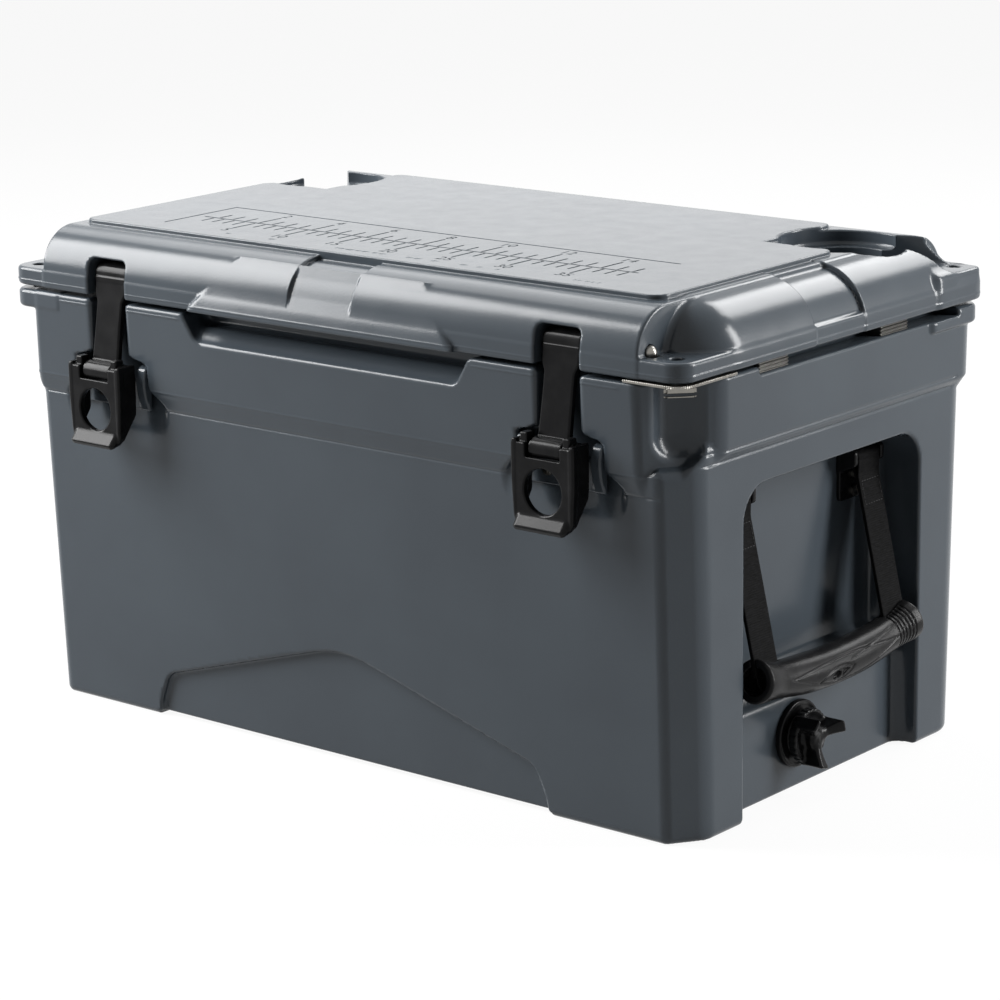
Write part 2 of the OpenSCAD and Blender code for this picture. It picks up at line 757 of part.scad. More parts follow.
module hinge_rods() {
    color(steel) mirror_x() {
        rod_x(hinge_rod_d / 2, hinge_x - hinge_half - 1, hinge_x + hinge_half + 1, hinge_y, hinge_z);
        for (s = [-1, 1]) rod_x(hinge_rod_d / 2 + 1.2, hinge_x + s * (hinge_half + 1.2) - 1,
            hinge_x + s * (hinge_half + 1.2) + 1, hinge_y, hinge_z);
    }
}

module latch_rod() {
    rod_x(latch_rod_d / 2, latch_x - strap_head_half - 9, notch_x, rod_y, rod_z);
    translate([notch_x, rod_y, rod_z]) rotate([0, 90, 0]) intersection() {
        sphere(latch_head_r);
        cylinder(r = latch_head_r + 1, h = latch_head_r + 1);
    }
}
module left_latch_rod() { color(steel) mirror([1, 0, 0]) latch_rod(); }
module right_latch_rod() { color(steel) latch_rod(); }

// A strap at x = 0: barrel on the lid rod, leaning plate, barrel on the lever pin.
module latch_strap() {
    lean = atan2(rod_y - lever_y, rod_z - lever_z);
    len = norm([rod_y - lever_y, rod_z - lever_z]);
    difference() {
        union() {
            rod_x(strap_head_r, -strap_head_half, strap_head_half, rod_y, rod_z);
            rod_x(lever_barrel_r, -strap_half, strap_half, lever_y, lever_z);
            translate([0, lever_y, lever_z]) rotate([-lean, 0, 0])
                translate([-strap_half, -strap_t / 2, 0])
                    cube([2 * strap_half, strap_t, len - strap_head_r + 2]);
            translate([0, lever_y, lever_z]) rotate([-lean, 0, 0])
                translate([-strap_head_half, -strap_t / 2, len - strap_head_r - 8])
                    cube([2 * strap_head_half, strap_t, 8]);
        }
        rod_x(latch_rod_d / 2 + run, -strap_head_half - 1, strap_head_half + 1, rod_y, rod_z);
        rod_x(lever_pin_d / 2 + run, -strap_half - 1, strap_half + 1, lever_y, lever_z);
    }
}
module left_latch_strap() { color(black) translate([-latch_x, 0, 0]) latch_strap(); }
module right_latch_strap() { color(black) translate([latch_x, 0, 0]) latch_strap(); }

module lever_pin() {
    rod_x(lever_pin_d / 2, -lever_half + 1, lever_half - 1, lever_y, lever_z);
}
module left_lever_pin() { color(steel) translate([-latch_x, 0, 0]) lever_pin(); }
module right_lever_pin() { color(steel) translate([latch_x, 0, 0]) lever_pin(); }

// A lever at x = 0 with its pin along X: front plate, cheeks, ears, barrels and thumb lip.
module latch_lever() {
    face_y = lever_y - 9;
    back_y = lever_y - 4;
    bottom = lever_z - lever_l;
    gap_half = strap_half + slip;
    hole_z = lever_z - lever_barrel_r - 4 - lever_hole_r;
    difference() {
        union() {
            // Front plate, narrowing slightly towards the thumb lip
            along_y(face_y, back_y) polygon([
                [-lever_half, lever_z + 4], [-lever_half + 1, bottom + 6], [-lever_half + 5, bottom],
                [lever_half - 5, bottom], [lever_half - 1, bottom + 6], [lever_half, lever_z + 4]]);
            // Side cheeks
            mirror_x() along_x(lever_half - 4, lever_half) polygon([
                [face_y, lever_z + 6], [face_y, bottom + 4], [back_y, bottom + 4],
                [lever_y + 8, lever_z - 30], [lever_y + 8, lever_z + 6]]);
            // Ears beside the strap
            mirror_x() block([gap_half, face_y + 3, lever_z - 4], [gap_half + 6, lever_y + 2, lever_z + 10]);
            // Pin barrels
            mirror_x() rod_x(lever_barrel_r, gap_half, lever_half, lever_y, lever_z);
            mirror_x() block([gap_half, back_y - 1, lever_z - lever_barrel_r - 3],
                             [lever_half - 1, lever_y, lever_z]);
            // Thumb lip
            along_x(-lever_half + 2, lever_half - 2) polygon([
                [face_y, bottom + 10], [face_y - 6, bottom], [face_y - 4, bottom - 2], [back_y, bottom]]);
        }
        rod_x(lever_pin_d / 2 + e, -lever_half + 1, lever_half - 1, lever_y, lever_z);
        // Room for the strap's lower barrel
        rod_x(lever_barrel_r + slip, -gap_half, gap_half, lever_y, lever_z);
        block([-gap_half, face_y - 1, lever_z - 5], [gap_half, lever_y + 10, lever_z + 14]);
        translate([0, face_y - 1, hole_z]) rotate([-90, 0, 0]) cylinder(r = lever_hole_r, h = 12);
    }
}
module left_latch_lever() { color(black) translate([-latch_x, 0, 0]) latch_lever(); }
module right_latch_lever() { color(black) translate([latch_x, 0, 0]) latch_lever(); }

module keeper_screw_places() {
    for (x = [-keeper_hole_x, keeper_hole_x])
        translate([latch_x + x, keeper_face_y, keeper_hole_z]) rotate([90, 0, 0]) children();
}

// Keeper plate at x = 0 behind the lever, with a guide wing on each side.
module latch_keeper() {
    back_y = keeper_face_y + keeper_t;
    difference() {
        union() {
            block([-keeper_half, keeper_face_y, lever_z - 26], [keeper_half, back_y, lever_z - 4]);
            mirror_x() along_x(lever_half + slip, keeper_half) polygon([
                [back_y, lever_z + 6], [lever_y + 2, lever_z + 3], [lever_y - 1, lever_z - 6],
                [lever_y + 2, lever_z - 20], [back_y, keeper_foot_z]]);
        }
        for (x = [-keeper_hole_x, keeper_hole_x])
            translate([x, keeper_face_y, keeper_hole_z]) rotate([90, 0, 0])
                translate([0, 0, -keeper_t - 1]) cylinder(d = screw_d, h = keeper_t + 2);
    }
}
module left_latch_keeper() { color(body_colour) translate([-latch_x, 0, 0]) latch_keeper(); }
module right_latch_keeper() { color(body_colour) translate([latch_x, 0, 0]) latch_keeper(); }

module keeper_screws() {
    color(steel) mirror_x() keeper_screw_places() screw(screw_d, keeper_screw_l);
}

// ---- corner plate and rim plates -------------------------------------------------

module corner_screw_places() {
    translate([lid_x - plate_l + 5, -lid_y + 7.5, rim_z + plate_t]) children();
    translate([lid_x - 14, -lid_y + plate_w - 8, rim_z + plate_t]) children();
}

module corner_plate() {
    x1 = lid_x;
    y1 = -lid_y;
    color(steel) difference() {
        union() {
            translate([0, 0, rim_z]) linear_extrude(plate_t) difference() {
                union() {
                    translate([x1 - plate_l, y1]) square([plate_l - 12, 22]);
                    translate([x1 - 24, y1 + 12]) square([24, plate_w - 12]);
                    translate([x1 - 12, y1 + 12]) circle(12);
                }
                translate([lid_x - 15, -lid_y + 15]) circle(d = padlock_d);
            }
            // Bottle-opener lip under the corner
            translate([x1 - 12, y1 + 12, rim_z - 8]) rotate(-45) difference() {
                translate([9.5, -13, 0]) cube([plate_t, 26, 8 + e]);
                translate([0, -8, 2.5]) cube([20, 16, 3.5]);
            }
        }
        corner_screw_places() translate([0, 0, -plate_t - 1]) cylinder(d = screw_d, h = plate_t + 2);
    }
}

module corner_plate_screws() {
    color(steel) corner_screw_places() translate([0, 0, -corner_screw_l])
        cylinder(d = screw_d - 2 * e, h = corner_screw_l);
}

module rim_wear_plates() {
    z0 = rim_z - relief_d;
    color(steel) mirror_x() for (y = [-wear_front, wear_rear]) difference() {
        block([lid_x - 17, y - wear_half, z0], [lid_x - 5, y + wear_half, lid_z - 1]);
        for (i = [-7:7]) translate([lid_x - 5, y + 2 * i, z0 - 1]) cylinder(d = 1, h = 20);
    }
}

// ---- handles -------------------------------------------------------------------

module anchor_screw_places() {
    for (s = [-1, 1], z = anchor_hole_z)
        translate([pocket_x + anchor_t, pocket_y + s * anchor_y, z]) rotate([0, 90, 0]) children();
}

// Wall bracket with a cross bar that one webbing leg loops round.
module handle_anchor() {
    half = web_w / 2 + 1;
    difference() {
        union() {
            block([pocket_x, -half - 4, anchor_foot_z], [pocket_x + anchor_t, half + 4, anchor_head_z]);
            for (s = [-1, 1]) translate([0, s * (half + 2), 0]) along_y(-2, 2) polygon([
                [pocket_x, anchor_head_z - 1], [bar_x + 5, bar_z + 5],
                [bar_x + 5, bar_z - 5], [pocket_x, bar_z - 12]]);
            translate([bar_x, half + 1, bar_z]) rotate([90, 0, 0]) cylinder(d = bar_d, h = 2 * half + 2);
        }
        for (z = anchor_hole_z) translate([pocket_x - 1, 0, z]) rotate([0, 90, 0])
            cylinder(d = screw_d, h = anchor_t + 2);
    }
}
module handle_anchors() {
    color(black) for (s = [-1, 1]) translate([0, pocket_y + s * anchor_y, 0]) handle_anchor();
}
module left_handle_anchors() { mirror([1, 0, 0]) handle_anchors(); }
module right_handle_anchors() { handle_anchors(); }

module handle_anchor_screws() {
    color(steel) mirror_x() anchor_screw_places() screw(screw_d, anchor_screw_l);
}

// Two webbing legs, each sewn round its bar and running down into the grip.
module handle_webbing() {
    ring_r = bar_d / 2 + fit;
    end_z = grip_z + grip_sag;
    run_x = grip_x - bar_x;
    run_z = end_z - bar_z;
    len = norm([run_x, run_z]);
    lean = atan2(run_x, -run_z);
    color(black) for (s = [-1, 1]) translate([0, pocket_y + s * anchor_y, 0]) difference() {
        union() {
            translate([bar_x, web_w / 2, bar_z]) rotate([90, 0, 0]) cylinder(r = ring_r + web_t, h = web_w);
            translate([bar_x, 0, bar_z]) rotate([0, -lean, 0])
                translate([-web_t / 2, -web_w / 2, -len]) cube([web_t, web_w, len]);
        }
        translate([bar_x, web_w / 2 + 1, bar_z]) rotate([90, 0, 0]) cylinder(r = ring_r, h = web_w + 2);
    }
}
module left_handle_webbing() { mirror([1, 0, 0]) handle_webbing(); }
module right_handle_webbing() { handle_webbing(); }

// Bowed grip: a bent tube whose ends take the webbing.
module handle_grip() {
    half = anchor_y + web_w / 2 + 3;
    bow_r = (half * half + grip_sag * grip_sag) / (2 * grip_sag);
    sweep = asin(half / bow_r);
    color(black) translate([grip_x, pocket_y, grip_z + bow_r]) rotate([0, 90, 0]) difference() {
        rotate(-sweep) rotate_extrude(angle = 2 * sweep) translate([bow_r, 0]) circle(d = grip_d);
        // Slots for the webbing
        for (s = [-1, 1]) translate([0, s * anchor_y, 0]) rotate([0, 0, 0]) grip_slot(bow_r);
    }
}

module grip_slot(bow_r) {
    run_x = grip_x - bar_x;
    run_z = bar_z - grip_z - grip_sag;
    lean = atan2(run_x, run_z);
    translate([bow_r - grip_sag, 0, 0]) rotate([0, -lean, 0])
        translate([-grip_d, -web_w / 2 - fit, -web_t / 2 - fit])
            cube([grip_d + fit, web_w + 2 * fit, web_t + 2 * fit]);
}
module left_handle_grip() { mirror([1, 0, 0]) handle_grip(); }
module right_handle_grip() { handle_grip(); }

// ---- drain ---------------------------------------------------------------------

drain_face_x = pocket_low_x;
drain_inner_x = cavity_low_x;

module drain_bushing() {
    color(black) difference() {
        union() {
            rod_x(drain_flange_r, drain_face_x, drain_face_x + drain_flange_t, -drain_y, drain_z);
            rod_x(drain_tube_r, drain_inner_x - 8, drain_face_x + e, -drain_y, drain_z);
        }
        rod_x(drain_bore_r, drain_inner_x - 10, drain_face_x + 10, -drain_y, drain_z);
    }
}

module drain_nut() {
    color(black) difference() {
        translate([drain_inner_x - 6, -drain_y, drain_z]) rotate([0, 90, 0])
            cylinder(r = drain_nut_r, h = 5, $fn = 6);
        rod_x(drain_tube_r + e, drain_inner_x - 20, drain_inner_x + 5, -drain_y, drain_z);
    }
}

seal_t = 2.5;
module drain_seal() {
    x0 = drain_face_x + drain_flange_t + fit;
    color("#0c0c0c") difference() {
        rod_x(plug_head_r - 3, x0, x0 + seal_t, -drain_y, drain_z);
        rod_x(drain_bore_r, x0 - 1, x0 + seal_t + 1, -drain_y, drain_z);
    }
}

module drain_plug() {
    x0 = drain_face_x + drain_flange_t + fit + seal_t;
    color(black) {
        rod_x(drain_bore_r - 0.2, x0 - plug_stem_l, x0 + e, -drain_y, drain_z);
        difference() {
            rod_x(plug_head_r, x0, x0 + 6, -drain_y, drain_z);
            for (a = [0:15:345]) translate([x0 - 1, -drain_y, drain_z]) rotate([a, 0, 0])
                translate([0, plug_head_r + 0.6, 0]) rotate([0, 90, 0]) cylinder(d = 2.6, h = 8, $fn = 16);
        }
        // Three-lobed knob
        rod_x(9, x0 + 5, x0 + 20, -drain_y, drain_z);
        for (a = [15, 135, 255]) translate([x0 + 5, -drain_y, drain_z]) rotate([a, 0, 0]) {
            translate([0, 0, -3.5]) cube([17, 15, 7]);
            translate([0, 15, 0]) rotate([0, 90, 0]) cylinder(r = 4.5, h = 17);
        }
    }
}

body_shell();
rim_tabs();
body_foam();
lid_shell();
lid_foam();
lid_gasket();
hinge_rods();
left_latch_rod();
right_latch_rod();
left_latch_strap();
right_latch_strap();
left_lever_pin();
right_lever_pin();
left_latch_lever();
right_latch_lever();
left_latch_keeper();
right_latch_keeper();
keeper_screws();
corner_plate();
corner_plate_screws();
rim_wear_plates();
left_handle_anchors();
right_handle_anchors();
left_handle_webbing();
right_handle_webbing();
left_handle_grip();
right_handle_grip();
handle_anchor_screws();
drain_bushing();
drain_nut();
drain_seal();
drain_plug();
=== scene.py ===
"""A hard-sided moulded cooler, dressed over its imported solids.

The moulded pieces are written as distance fields in millimetres, with true fillets
where walls meet, and turned into smooth meshes. Every piece rides on its CAD body.
"""
from __future__ import annotations

import json
import logging
import math
import sys
from dataclasses import dataclass
from enum import Enum
from typing import Callable, Sequence

import bmesh
import bpy
import numpy as np
from mathutils import Matrix, Vector
from mathutils.geometry import tessellate_polygon


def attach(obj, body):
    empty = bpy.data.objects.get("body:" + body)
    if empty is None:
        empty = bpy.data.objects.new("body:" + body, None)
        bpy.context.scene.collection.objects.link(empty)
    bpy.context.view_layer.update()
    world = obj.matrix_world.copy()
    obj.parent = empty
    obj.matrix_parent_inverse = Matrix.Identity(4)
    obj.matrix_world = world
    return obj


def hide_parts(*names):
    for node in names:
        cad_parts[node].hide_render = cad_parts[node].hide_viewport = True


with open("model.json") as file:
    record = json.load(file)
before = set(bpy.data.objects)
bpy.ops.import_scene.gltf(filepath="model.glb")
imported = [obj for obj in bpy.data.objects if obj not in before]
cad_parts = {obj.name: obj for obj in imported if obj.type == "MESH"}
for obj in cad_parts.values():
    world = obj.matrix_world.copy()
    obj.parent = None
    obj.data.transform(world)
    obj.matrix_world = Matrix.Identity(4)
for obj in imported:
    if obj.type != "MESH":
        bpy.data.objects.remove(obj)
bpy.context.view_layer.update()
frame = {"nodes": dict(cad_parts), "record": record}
LOG = logging.getLogger("cooler")

Array = np.ndarray
Field = Callable[[Array, Array, Array], Array]
MM = 0.001
SLAB = 16  # grid layers worked out at a time
DRAW_ROUNDS = 3  # rounds that draw the vertices onto the surface
LEAST_SLOPE = 0.05  # the least squared slope that those rounds divide by
PROBE = 0.04  # half the distance over which a slope is measured
TINY = 1e-9  # keeps a division from failing where a length is 0


# ---- distance field helpers ---------------------------------------------------------


def join(a: Array, b: Array, r: float = 0.0) -> Array:
    """Union of two fields, with a concave fillet of radius r where they meet.

    Args:
        a, b: signed distances.
        r: the radius of the fillet.

    Returns:
        The signed distance to both together.
    """
    if r <= 0:
        return np.minimum(a, b)
    return np.maximum(r, np.minimum(a, b)) - np.hypot(np.maximum(r - a, 0), np.maximum(r - b, 0))


def keep(a: Array, b: Array, r: float = 0.0) -> Array:
    """Intersection of two fields, with a convex edge of radius r.

    Args:
        a, b: signed distances.
        r: the radius of the edge.

    Returns:
        The signed distance to what both share.
    """
    if r <= 0:
        return np.maximum(a, b)
    return np.minimum(-r, np.maximum(a, b)) + np.hypot(np.maximum(r + a, 0), np.maximum(r + b, 0))


def cut(a: Array, b: Array, r: float = 0.0) -> Array:
    """Field a with b taken away, its new edges rounded to radius r."""
    return keep(a, -b, r)


def box2(u: Array, v: Array, hu: Array | float, hv: Array | float, r: float = 0.0) -> Array:
    """Distance to a rectangle of half sizes hu, hv with corners of radius r."""
    qu, qv = np.abs(u) - hu + r, np.abs(v) - hv + r
    return np.hypot(np.maximum(qu, 0), np.maximum(qv, 0)) + np.minimum(np.maximum(qu, qv), 0) - r


def span(u: Array, low: float, high: float) -> Array:
    """Distance to the slab between low and high."""
    return np.abs(u - (low + high) / 2) - (high - low) / 2


def block(p: Sequence[Array], low: Sequence[float], high: Sequence[float], r: float = 0.0) -> Array:
    """Distance to a box given by its corners, all its edges rounded to radius r.

    Args:
        p: positions along the axes.
        low, high: opposite corners of the box.
        r: the radius of its edges.

    Returns:
        The signed distance, negative inside.
    """
    q = [np.abs(u - (a + b) / 2) - (b - a) / 2 + r for u, a, b in zip(p, low, high)]
    out = np.sqrt(sum(np.maximum(k, 0) ** 2 for k in q))
    return out + np.minimum(np.maximum(np.maximum(q[0], q[1]), q[2]), 0) - r


def edge2(u: Array, v: Array, a: Sequence[float], b: Sequence[float]) -> Array:
    """Signed distance to the line from a to b, negative on its left.

    Args:
        u, v: positions in the plane.
        a, b: two points of the line.

    Returns:
        The signed distance.
    """
    du, dv = b[0] - a[0], b[1] - a[1]
    n = math.hypot(du, dv)
    return ((u - a[0]) * dv - (v - a[1]) * du) / n


def convex2(u: Array, v: Array, points: Sequence[Sequence[float]], r: float = 0.0) -> Array:
    """Distance to a convex outline given anticlockwise, its corners rounded to radius r.

    Args:
        u, v: positions in the plane.
        points: the corners of the outline, anticlockwise.
        r: the radius of those corners.

    Returns:
        The signed distance, negative inside.
    """
    out = None
    for a, b in zip(points, list(points[1:]) + [points[0]]):
        side = edge2(u, v, a, b)
        out = side if out is None else keep(out, side, r)
    return out


def rod(u: Array, v: Array, w: Array, r: float, low: float, high: float,
        edge: float = 0.0) -> Array:
    """Distance to a round bar along w between low and high."""
    return keep(np.hypot(u, v) - r, span(w, low, high), edge)


def blend_step(t: Array, low: float, high: float) -> Array:
    """Smooth step from 0 at low to 1 at high."""
    k = np.clip((t - low) / (high - low), 0, 1)
    return k * k * (3 - 2 * k)


def ridge(t: Array, at: float, wide: float, high: float) -> Array:
    """Height of a soft bead of the given half width, centred on t = at."""
    return high * np.exp(-((t - at) / wide) ** 2)


def graded(*stops: float) -> Array:
    """Grid positions from pairs of (position, step up to the next position).

    Args:
        stops: position, step, position, step, ..., last position.

    Returns:
        The positions, ascending.
    """
    out = [np.array([stops[-1]])]
    coarser = 1.0
    for i in range(0, len(stops) - 1, 2):
        low, step, high = stops[i], stops[i + 1], stops[i + 2]
        count = max(1, round((high - low) / (step * coarser)))
        out.append(np.linspace(low, high, count, endpoint=False))
    return np.unique(np.concatenate(out))


def mirrored(*stops: float) -> Array:
    """Graded positions from 0 outwards, repeated on the negative side."""
    half = graded(*stops)
    return np.unique(np.concatenate([-half, half]))


CORNERS = np.array([(i, j, k) for i in (0, 1) for j in (0, 1) for k in (0, 1)])
EDGES = [(a, b) for a in range(8) for b in range(a + 1, 8)
         if abs(CORNERS[a] - CORNERS[b]).sum() == 1]


def slope_of(f: Field, p: Array, h: float = PROBE) -> Array:
    """Gradient of a field at scattered points, by central differences.

    Args:
        f: the field.
        p: the points, one to a row.
        h: half the distance over which the slope is measured.

    Returns:
        The gradient at each point, one to a row.
    """
    g = np.empty_like(p)
    for k in range(3):
        d = np.zeros(3)
        d[k] = h
        a, b = p + d, p - d
        g[:, k] = (f(a[:, 0], a[:, 1], a[:, 2]) - f(b[:, 0], b[:, 1], b[:, 2])) / (2 * h)
    return g


def surface(f: Field, xs: Array, ys: Array, zs: Array) -> tuple[Array, Array]:
    """Meshes the zero surface of a field on a rectilinear grid.

    Args:
        f: the field, in millimetres, negative inside.
        xs, ys, zs: the grid's positions along each axis.

    Returns:
        The vertices, drawn onto the surface, and the four-sided faces.
    """
    values = np.empty((len(xs), len(ys), len(zs)), np.float32)
    for i in range(0, len(xs), SLAB):
        part = f(xs[i:i + SLAB, None, None], ys[None, :, None], zs[None, None, :])
        values[i:i + SLAB] = np.broadcast_to(part, values[i:i + SLAB].shape)
    inside = values < 0
    n = tuple(s - 1 for s in inside.shape)
    count = sum(inside[i:n[0] + i, j:n[1] + j, k:n[2] + k].astype(np.int8) for i, j, k in CORNERS)
    cells = np.argwhere((count > 0) & (count < 8))
    number = np.full(n, -1, np.int64)
    number[tuple(cells.T)] = np.arange(len(cells))
    at = cells[:, None, :] + CORNERS[None]
    v = values[at[..., 0], at[..., 1], at[..., 2]].astype(float)
    p = np.stack([xs[at[..., 0]], ys[at[..., 1]], zs[at[..., 2]]], -1)
    total, weight = np.zeros((len(cells), 3)), np.zeros(len(cells))
    for a, b in EDGES:
        cross = (v[:, a] < 0) != (v[:, b] < 0)
        t = np.where(cross, v[:, a] / np.where(cross, v[:, a] - v[:, b], 1), 0)
        total += np.where(cross[:, None], p[:, a] + (p[:, b] - p[:, a]) * t[:, None], 0)
        weight += cross
    verts = total / weight[:, None]
    low, high = p[:, 0], p[:, 7]
    for _ in range(DRAW_ROUNDS):
        g = slope_of(f, verts)
        d = f(verts[:, 0], verts[:, 1], verts[:, 2])
        move = (d / np.maximum((g * g).sum(1), LEAST_SLOPE))[:, None] * g
        verts = np.clip(verts - move, low, high)
    quads = []
    for axis in range(3):
        a = [slice(1, -1)] * 3
        a[axis] = slice(0, -1)
        b = list(a)
        b[axis] = slice(1, None)
        here, there = inside[tuple(a)], inside[tuple(b)]
        e1, e2 = [(1, 2), (2, 0), (0, 1)][axis]
        for flip in (False, True):
            found = np.argwhere(here & ~there if not flip else ~here & there)
            if not len(found):
                continue
            base = found + 1
            base[:, axis] -= 1
            ring = []
            for s, t in ((-1, -1), (0, -1), (0, 0), (-1, 0)):
                q = base.copy()
                q[:, e1] += s
                q[:, e2] += t
                ring.append(number[tuple(q.T)])
            ring = np.stack(ring, 1)
            quads.append(ring[:, ::-1] if flip else ring)
    return verts, np.concatenate(quads)


# ---- pieces and finishes ------------------------------------------------------------


class Body(str, Enum):
    """The CAD bodies that pieces ride on."""

    COOLER = "cooler_body"
    LID = "lid"
    LEFT_STRAP = "left_strap"
    RIGHT_STRAP = "right_strap"
    LEFT_LEVER = "left_lever"
    RIGHT_LEVER = "right_lever"
    LEFT_HANDLE = "left_handle"
    RIGHT_HANDLE = "right_handle"
    DRAIN_CAP = "drain_cap"


class Side(Enum):
    """The two ends of the cooler; the value is the sign of x."""

    LEFT = -1
    RIGHT = 1

    @property
    def word(self) -> str:
        """The side's name in a piece's name."""
        return self.name.lower()


@dataclass
class Sheet:
    """A finished skin: points in millimetres, faces of any size and a normal for every corner."""

    points: Array
    faces: list[Array]
    normals: list[Array]

    def object(self, name: str) -> bpy.types.Object:
        """Makes the mesh object, in metres.

        Args:
            name: the name of the object.

        Returns:
            The object, linked to the scene.
        """
        sizes = np.concatenate([np.full(len(f), f.shape[1]) for f in self.faces])
        corners = np.concatenate([f.ravel() for f in self.faces])
        mesh = bpy.data.meshes.new(name)
        mesh.vertices.add(len(self.points))
        mesh.vertices.foreach_set("co", (self.points * MM).astype(np.float32).ravel())
        mesh.loops.add(len(corners))
        mesh.loops.foreach_set("vertex_index", corners.astype(np.int32))
        mesh.polygons.add(len(sizes))
        mesh.polygons.foreach_set("loop_start", (np.cumsum(sizes) - sizes).astype(np.int32))
        mesh.update(calc_edges=True)
        mesh.polygons.foreach_set("use_smooth", np.ones(len(sizes), bool))
        normals = np.concatenate([n.reshape(-1, 3) for n in self.normals])
        mesh.normals_split_custom_set(normals.astype(np.float32))
        obj = bpy.data.objects.new(name, mesh)
        bpy.context.scene.collection.objects.link(obj)
        LOG.info("%s: %d faces", name, len(sizes))
        return obj


def skin(side: Side, *blocks: tuple[Field, Array, Array, Array]) -> Sheet:
    """Meshes one or more fields, with normals from the fields themselves.

    Args:
        side: LEFT mirrors the result, which is laid out on the right.
        blocks: each field with its grid positions along x, y and z.

    Returns:
        The skin, with four-sided faces.
    """
    points, faces, normals, count = [], [], [], 0
    for f, xs, ys, zs in blocks:
        verts, quads = surface(f, xs, ys, zs)
        n = slope_of(f, verts)
        n /= np.maximum(np.linalg.norm(n, axis=1), TINY)[:, None]
        if side is Side.LEFT:
            verts, n, quads = verts * (-1, 1, 1), n * (-1, 1, 1), quads[:, ::-1]
        points.append(verts)
        faces.append(quads + count)
        normals.append(n[quads])
        count += len(verts)
    return Sheet(np.concatenate(points), [np.concatenate(faces)], [np.concatenate(normals)])


def smooth_object(name: str, *blocks: tuple[Field, Array, Array, Array],
                  side: Side = Side.RIGHT) -> bpy.types.Object:
    """Makes one mesh object from one or more fields, as skin does."""
    return skin(side, *blocks).object(name)


@dataclass(frozen=True)
class Grain:
    """A layer of noise: features per metre, octaves, relief in metres, roughness and stretch."""

    scale: float
    detail: float = 3.0
    depth: float = 0.0
    rough: float = 0.5
    stretch: tuple[float, float, float] = (1, 1, 1)


class Finish:
    """A procedural material, built once and shared."""

    def __init__(self, name: str) -> None:
        """Starts an empty node material called name.

        Args:
            name: the name of the material.
        """
        self.material = bpy.data.materials.new(name)
        self.material.use_nodes = True
        self.nodes = self.material.node_tree.nodes
        self.links = self.material.node_tree.links
        self.shader = self.nodes["Principled BSDF"]
        self.coords = self.nodes.new("ShaderNodeTexCoord")

    def set(self, **values: object) -> "Finish":
        """Sets the shader's own sockets, with underscores for the spaces in their names.

        Args:
            values: a value for each socket.

        Returns:
            The finish itself.
        """
        for key, value in values.items():
            self.shader.inputs[key.replace("_", " ")].default_value = value
        return self

    def noise(self, grain: Grain) -> bpy.types.NodeSocket:
        """Lays noise out in object space.

        Args:
            grain: the layer of noise.

        Returns:
            The socket of the noise's value.
        """
        mapping = self.nodes.new("ShaderNodeMapping")
        mapping.inputs["Scale"].default_value = grain.stretch
        self.links.new(self.coords.outputs["Object"], mapping.inputs["Vector"])
        node = self.nodes.new("ShaderNodeTexNoise")
        node.inputs["Scale"].default_value = grain.scale
        node.inputs["Detail"].default_value = grain.detail
        node.inputs["Roughness"].default_value = grain.rough
        self.links.new(mapping.outputs["Vector"], node.inputs["Vector"])
        return node.outputs["Fac"]

    def ramp(self, source: bpy.types.NodeSocket, low: float, high: float,
             a: Sequence[float], b: Sequence[float]) -> bpy.types.NodeSocket:
        """Maps a value between low and high to a colour between a and b.

        Args:
            source: the socket of the value.
            low, high: the values where the colours end.
            a, b: the colours at low and at high.

        Returns:
            The socket of the colour.
        """
        node = self.nodes.new("ShaderNodeValToRGB")
        node.color_ramp.elements[0].position = low
        node.color_ramp.elements[1].position = high
        node.color_ramp.elements[0].color = (*a, 1)
        node.color_ramp.elements[1].color = (*b, 1)
        self.links.new(source, node.inputs["Fac"])
        return node.outputs["Color"]

    def scaled(self, source: bpy.types.NodeSocket, low: float, high: float) -> bpy.types.NodeSocket:
        """Maps 0..1 to low..high.

        Args:
            source: the socket of a value from 0 to 1.
            low, high: what 0 and 1 become.

        Returns:
            The socket of the new value.
        """
        node = self.nodes.new("ShaderNodeMapRange")
        node.inputs["To Min"].default_value = low
        node.inputs["To Max"].default_value = high
        self.links.new(source, node.inputs["Value"])
        return node.outputs["Result"]

    def bump(self, source: bpy.types.NodeSocket, height: float,
             after: bpy.types.Node | None = None) -> bpy.types.Node:
        """Adds relief of the given height in metres, on top of an earlier relief.

        Args:
            source: the socket of the relief.
            height: the height of the relief, in metres.
            after: an earlier relief.

        Returns:
            The node, to lay further relief on.
        """
        node = self.nodes.new("ShaderNodeBump")
        node.inputs["Distance"].default_value = height
        node.inputs["Strength"].default_value = 1.0
        self.links.new(source, node.inputs["Height"])
        if after is not None:
            self.links.new(after.outputs["Normal"], node.inputs["Normal"])
        self.links.new(node.outputs["Normal"], self.shader.inputs["Normal"])
        return node

    def relief(self, grain: Grain, after: bpy.types.Node | None = None) -> bpy.types.Node:
        """Adds a grain's own relief, on top of an earlier relief."""
        return self.bump(self.noise(grain), grain.depth, after)

    def on(self, socket: str, source: bpy.types.NodeSocket) -> None:
        """Links a source to one of the shader's sockets."""
        self.links.new(source, self.shader.inputs[socket])


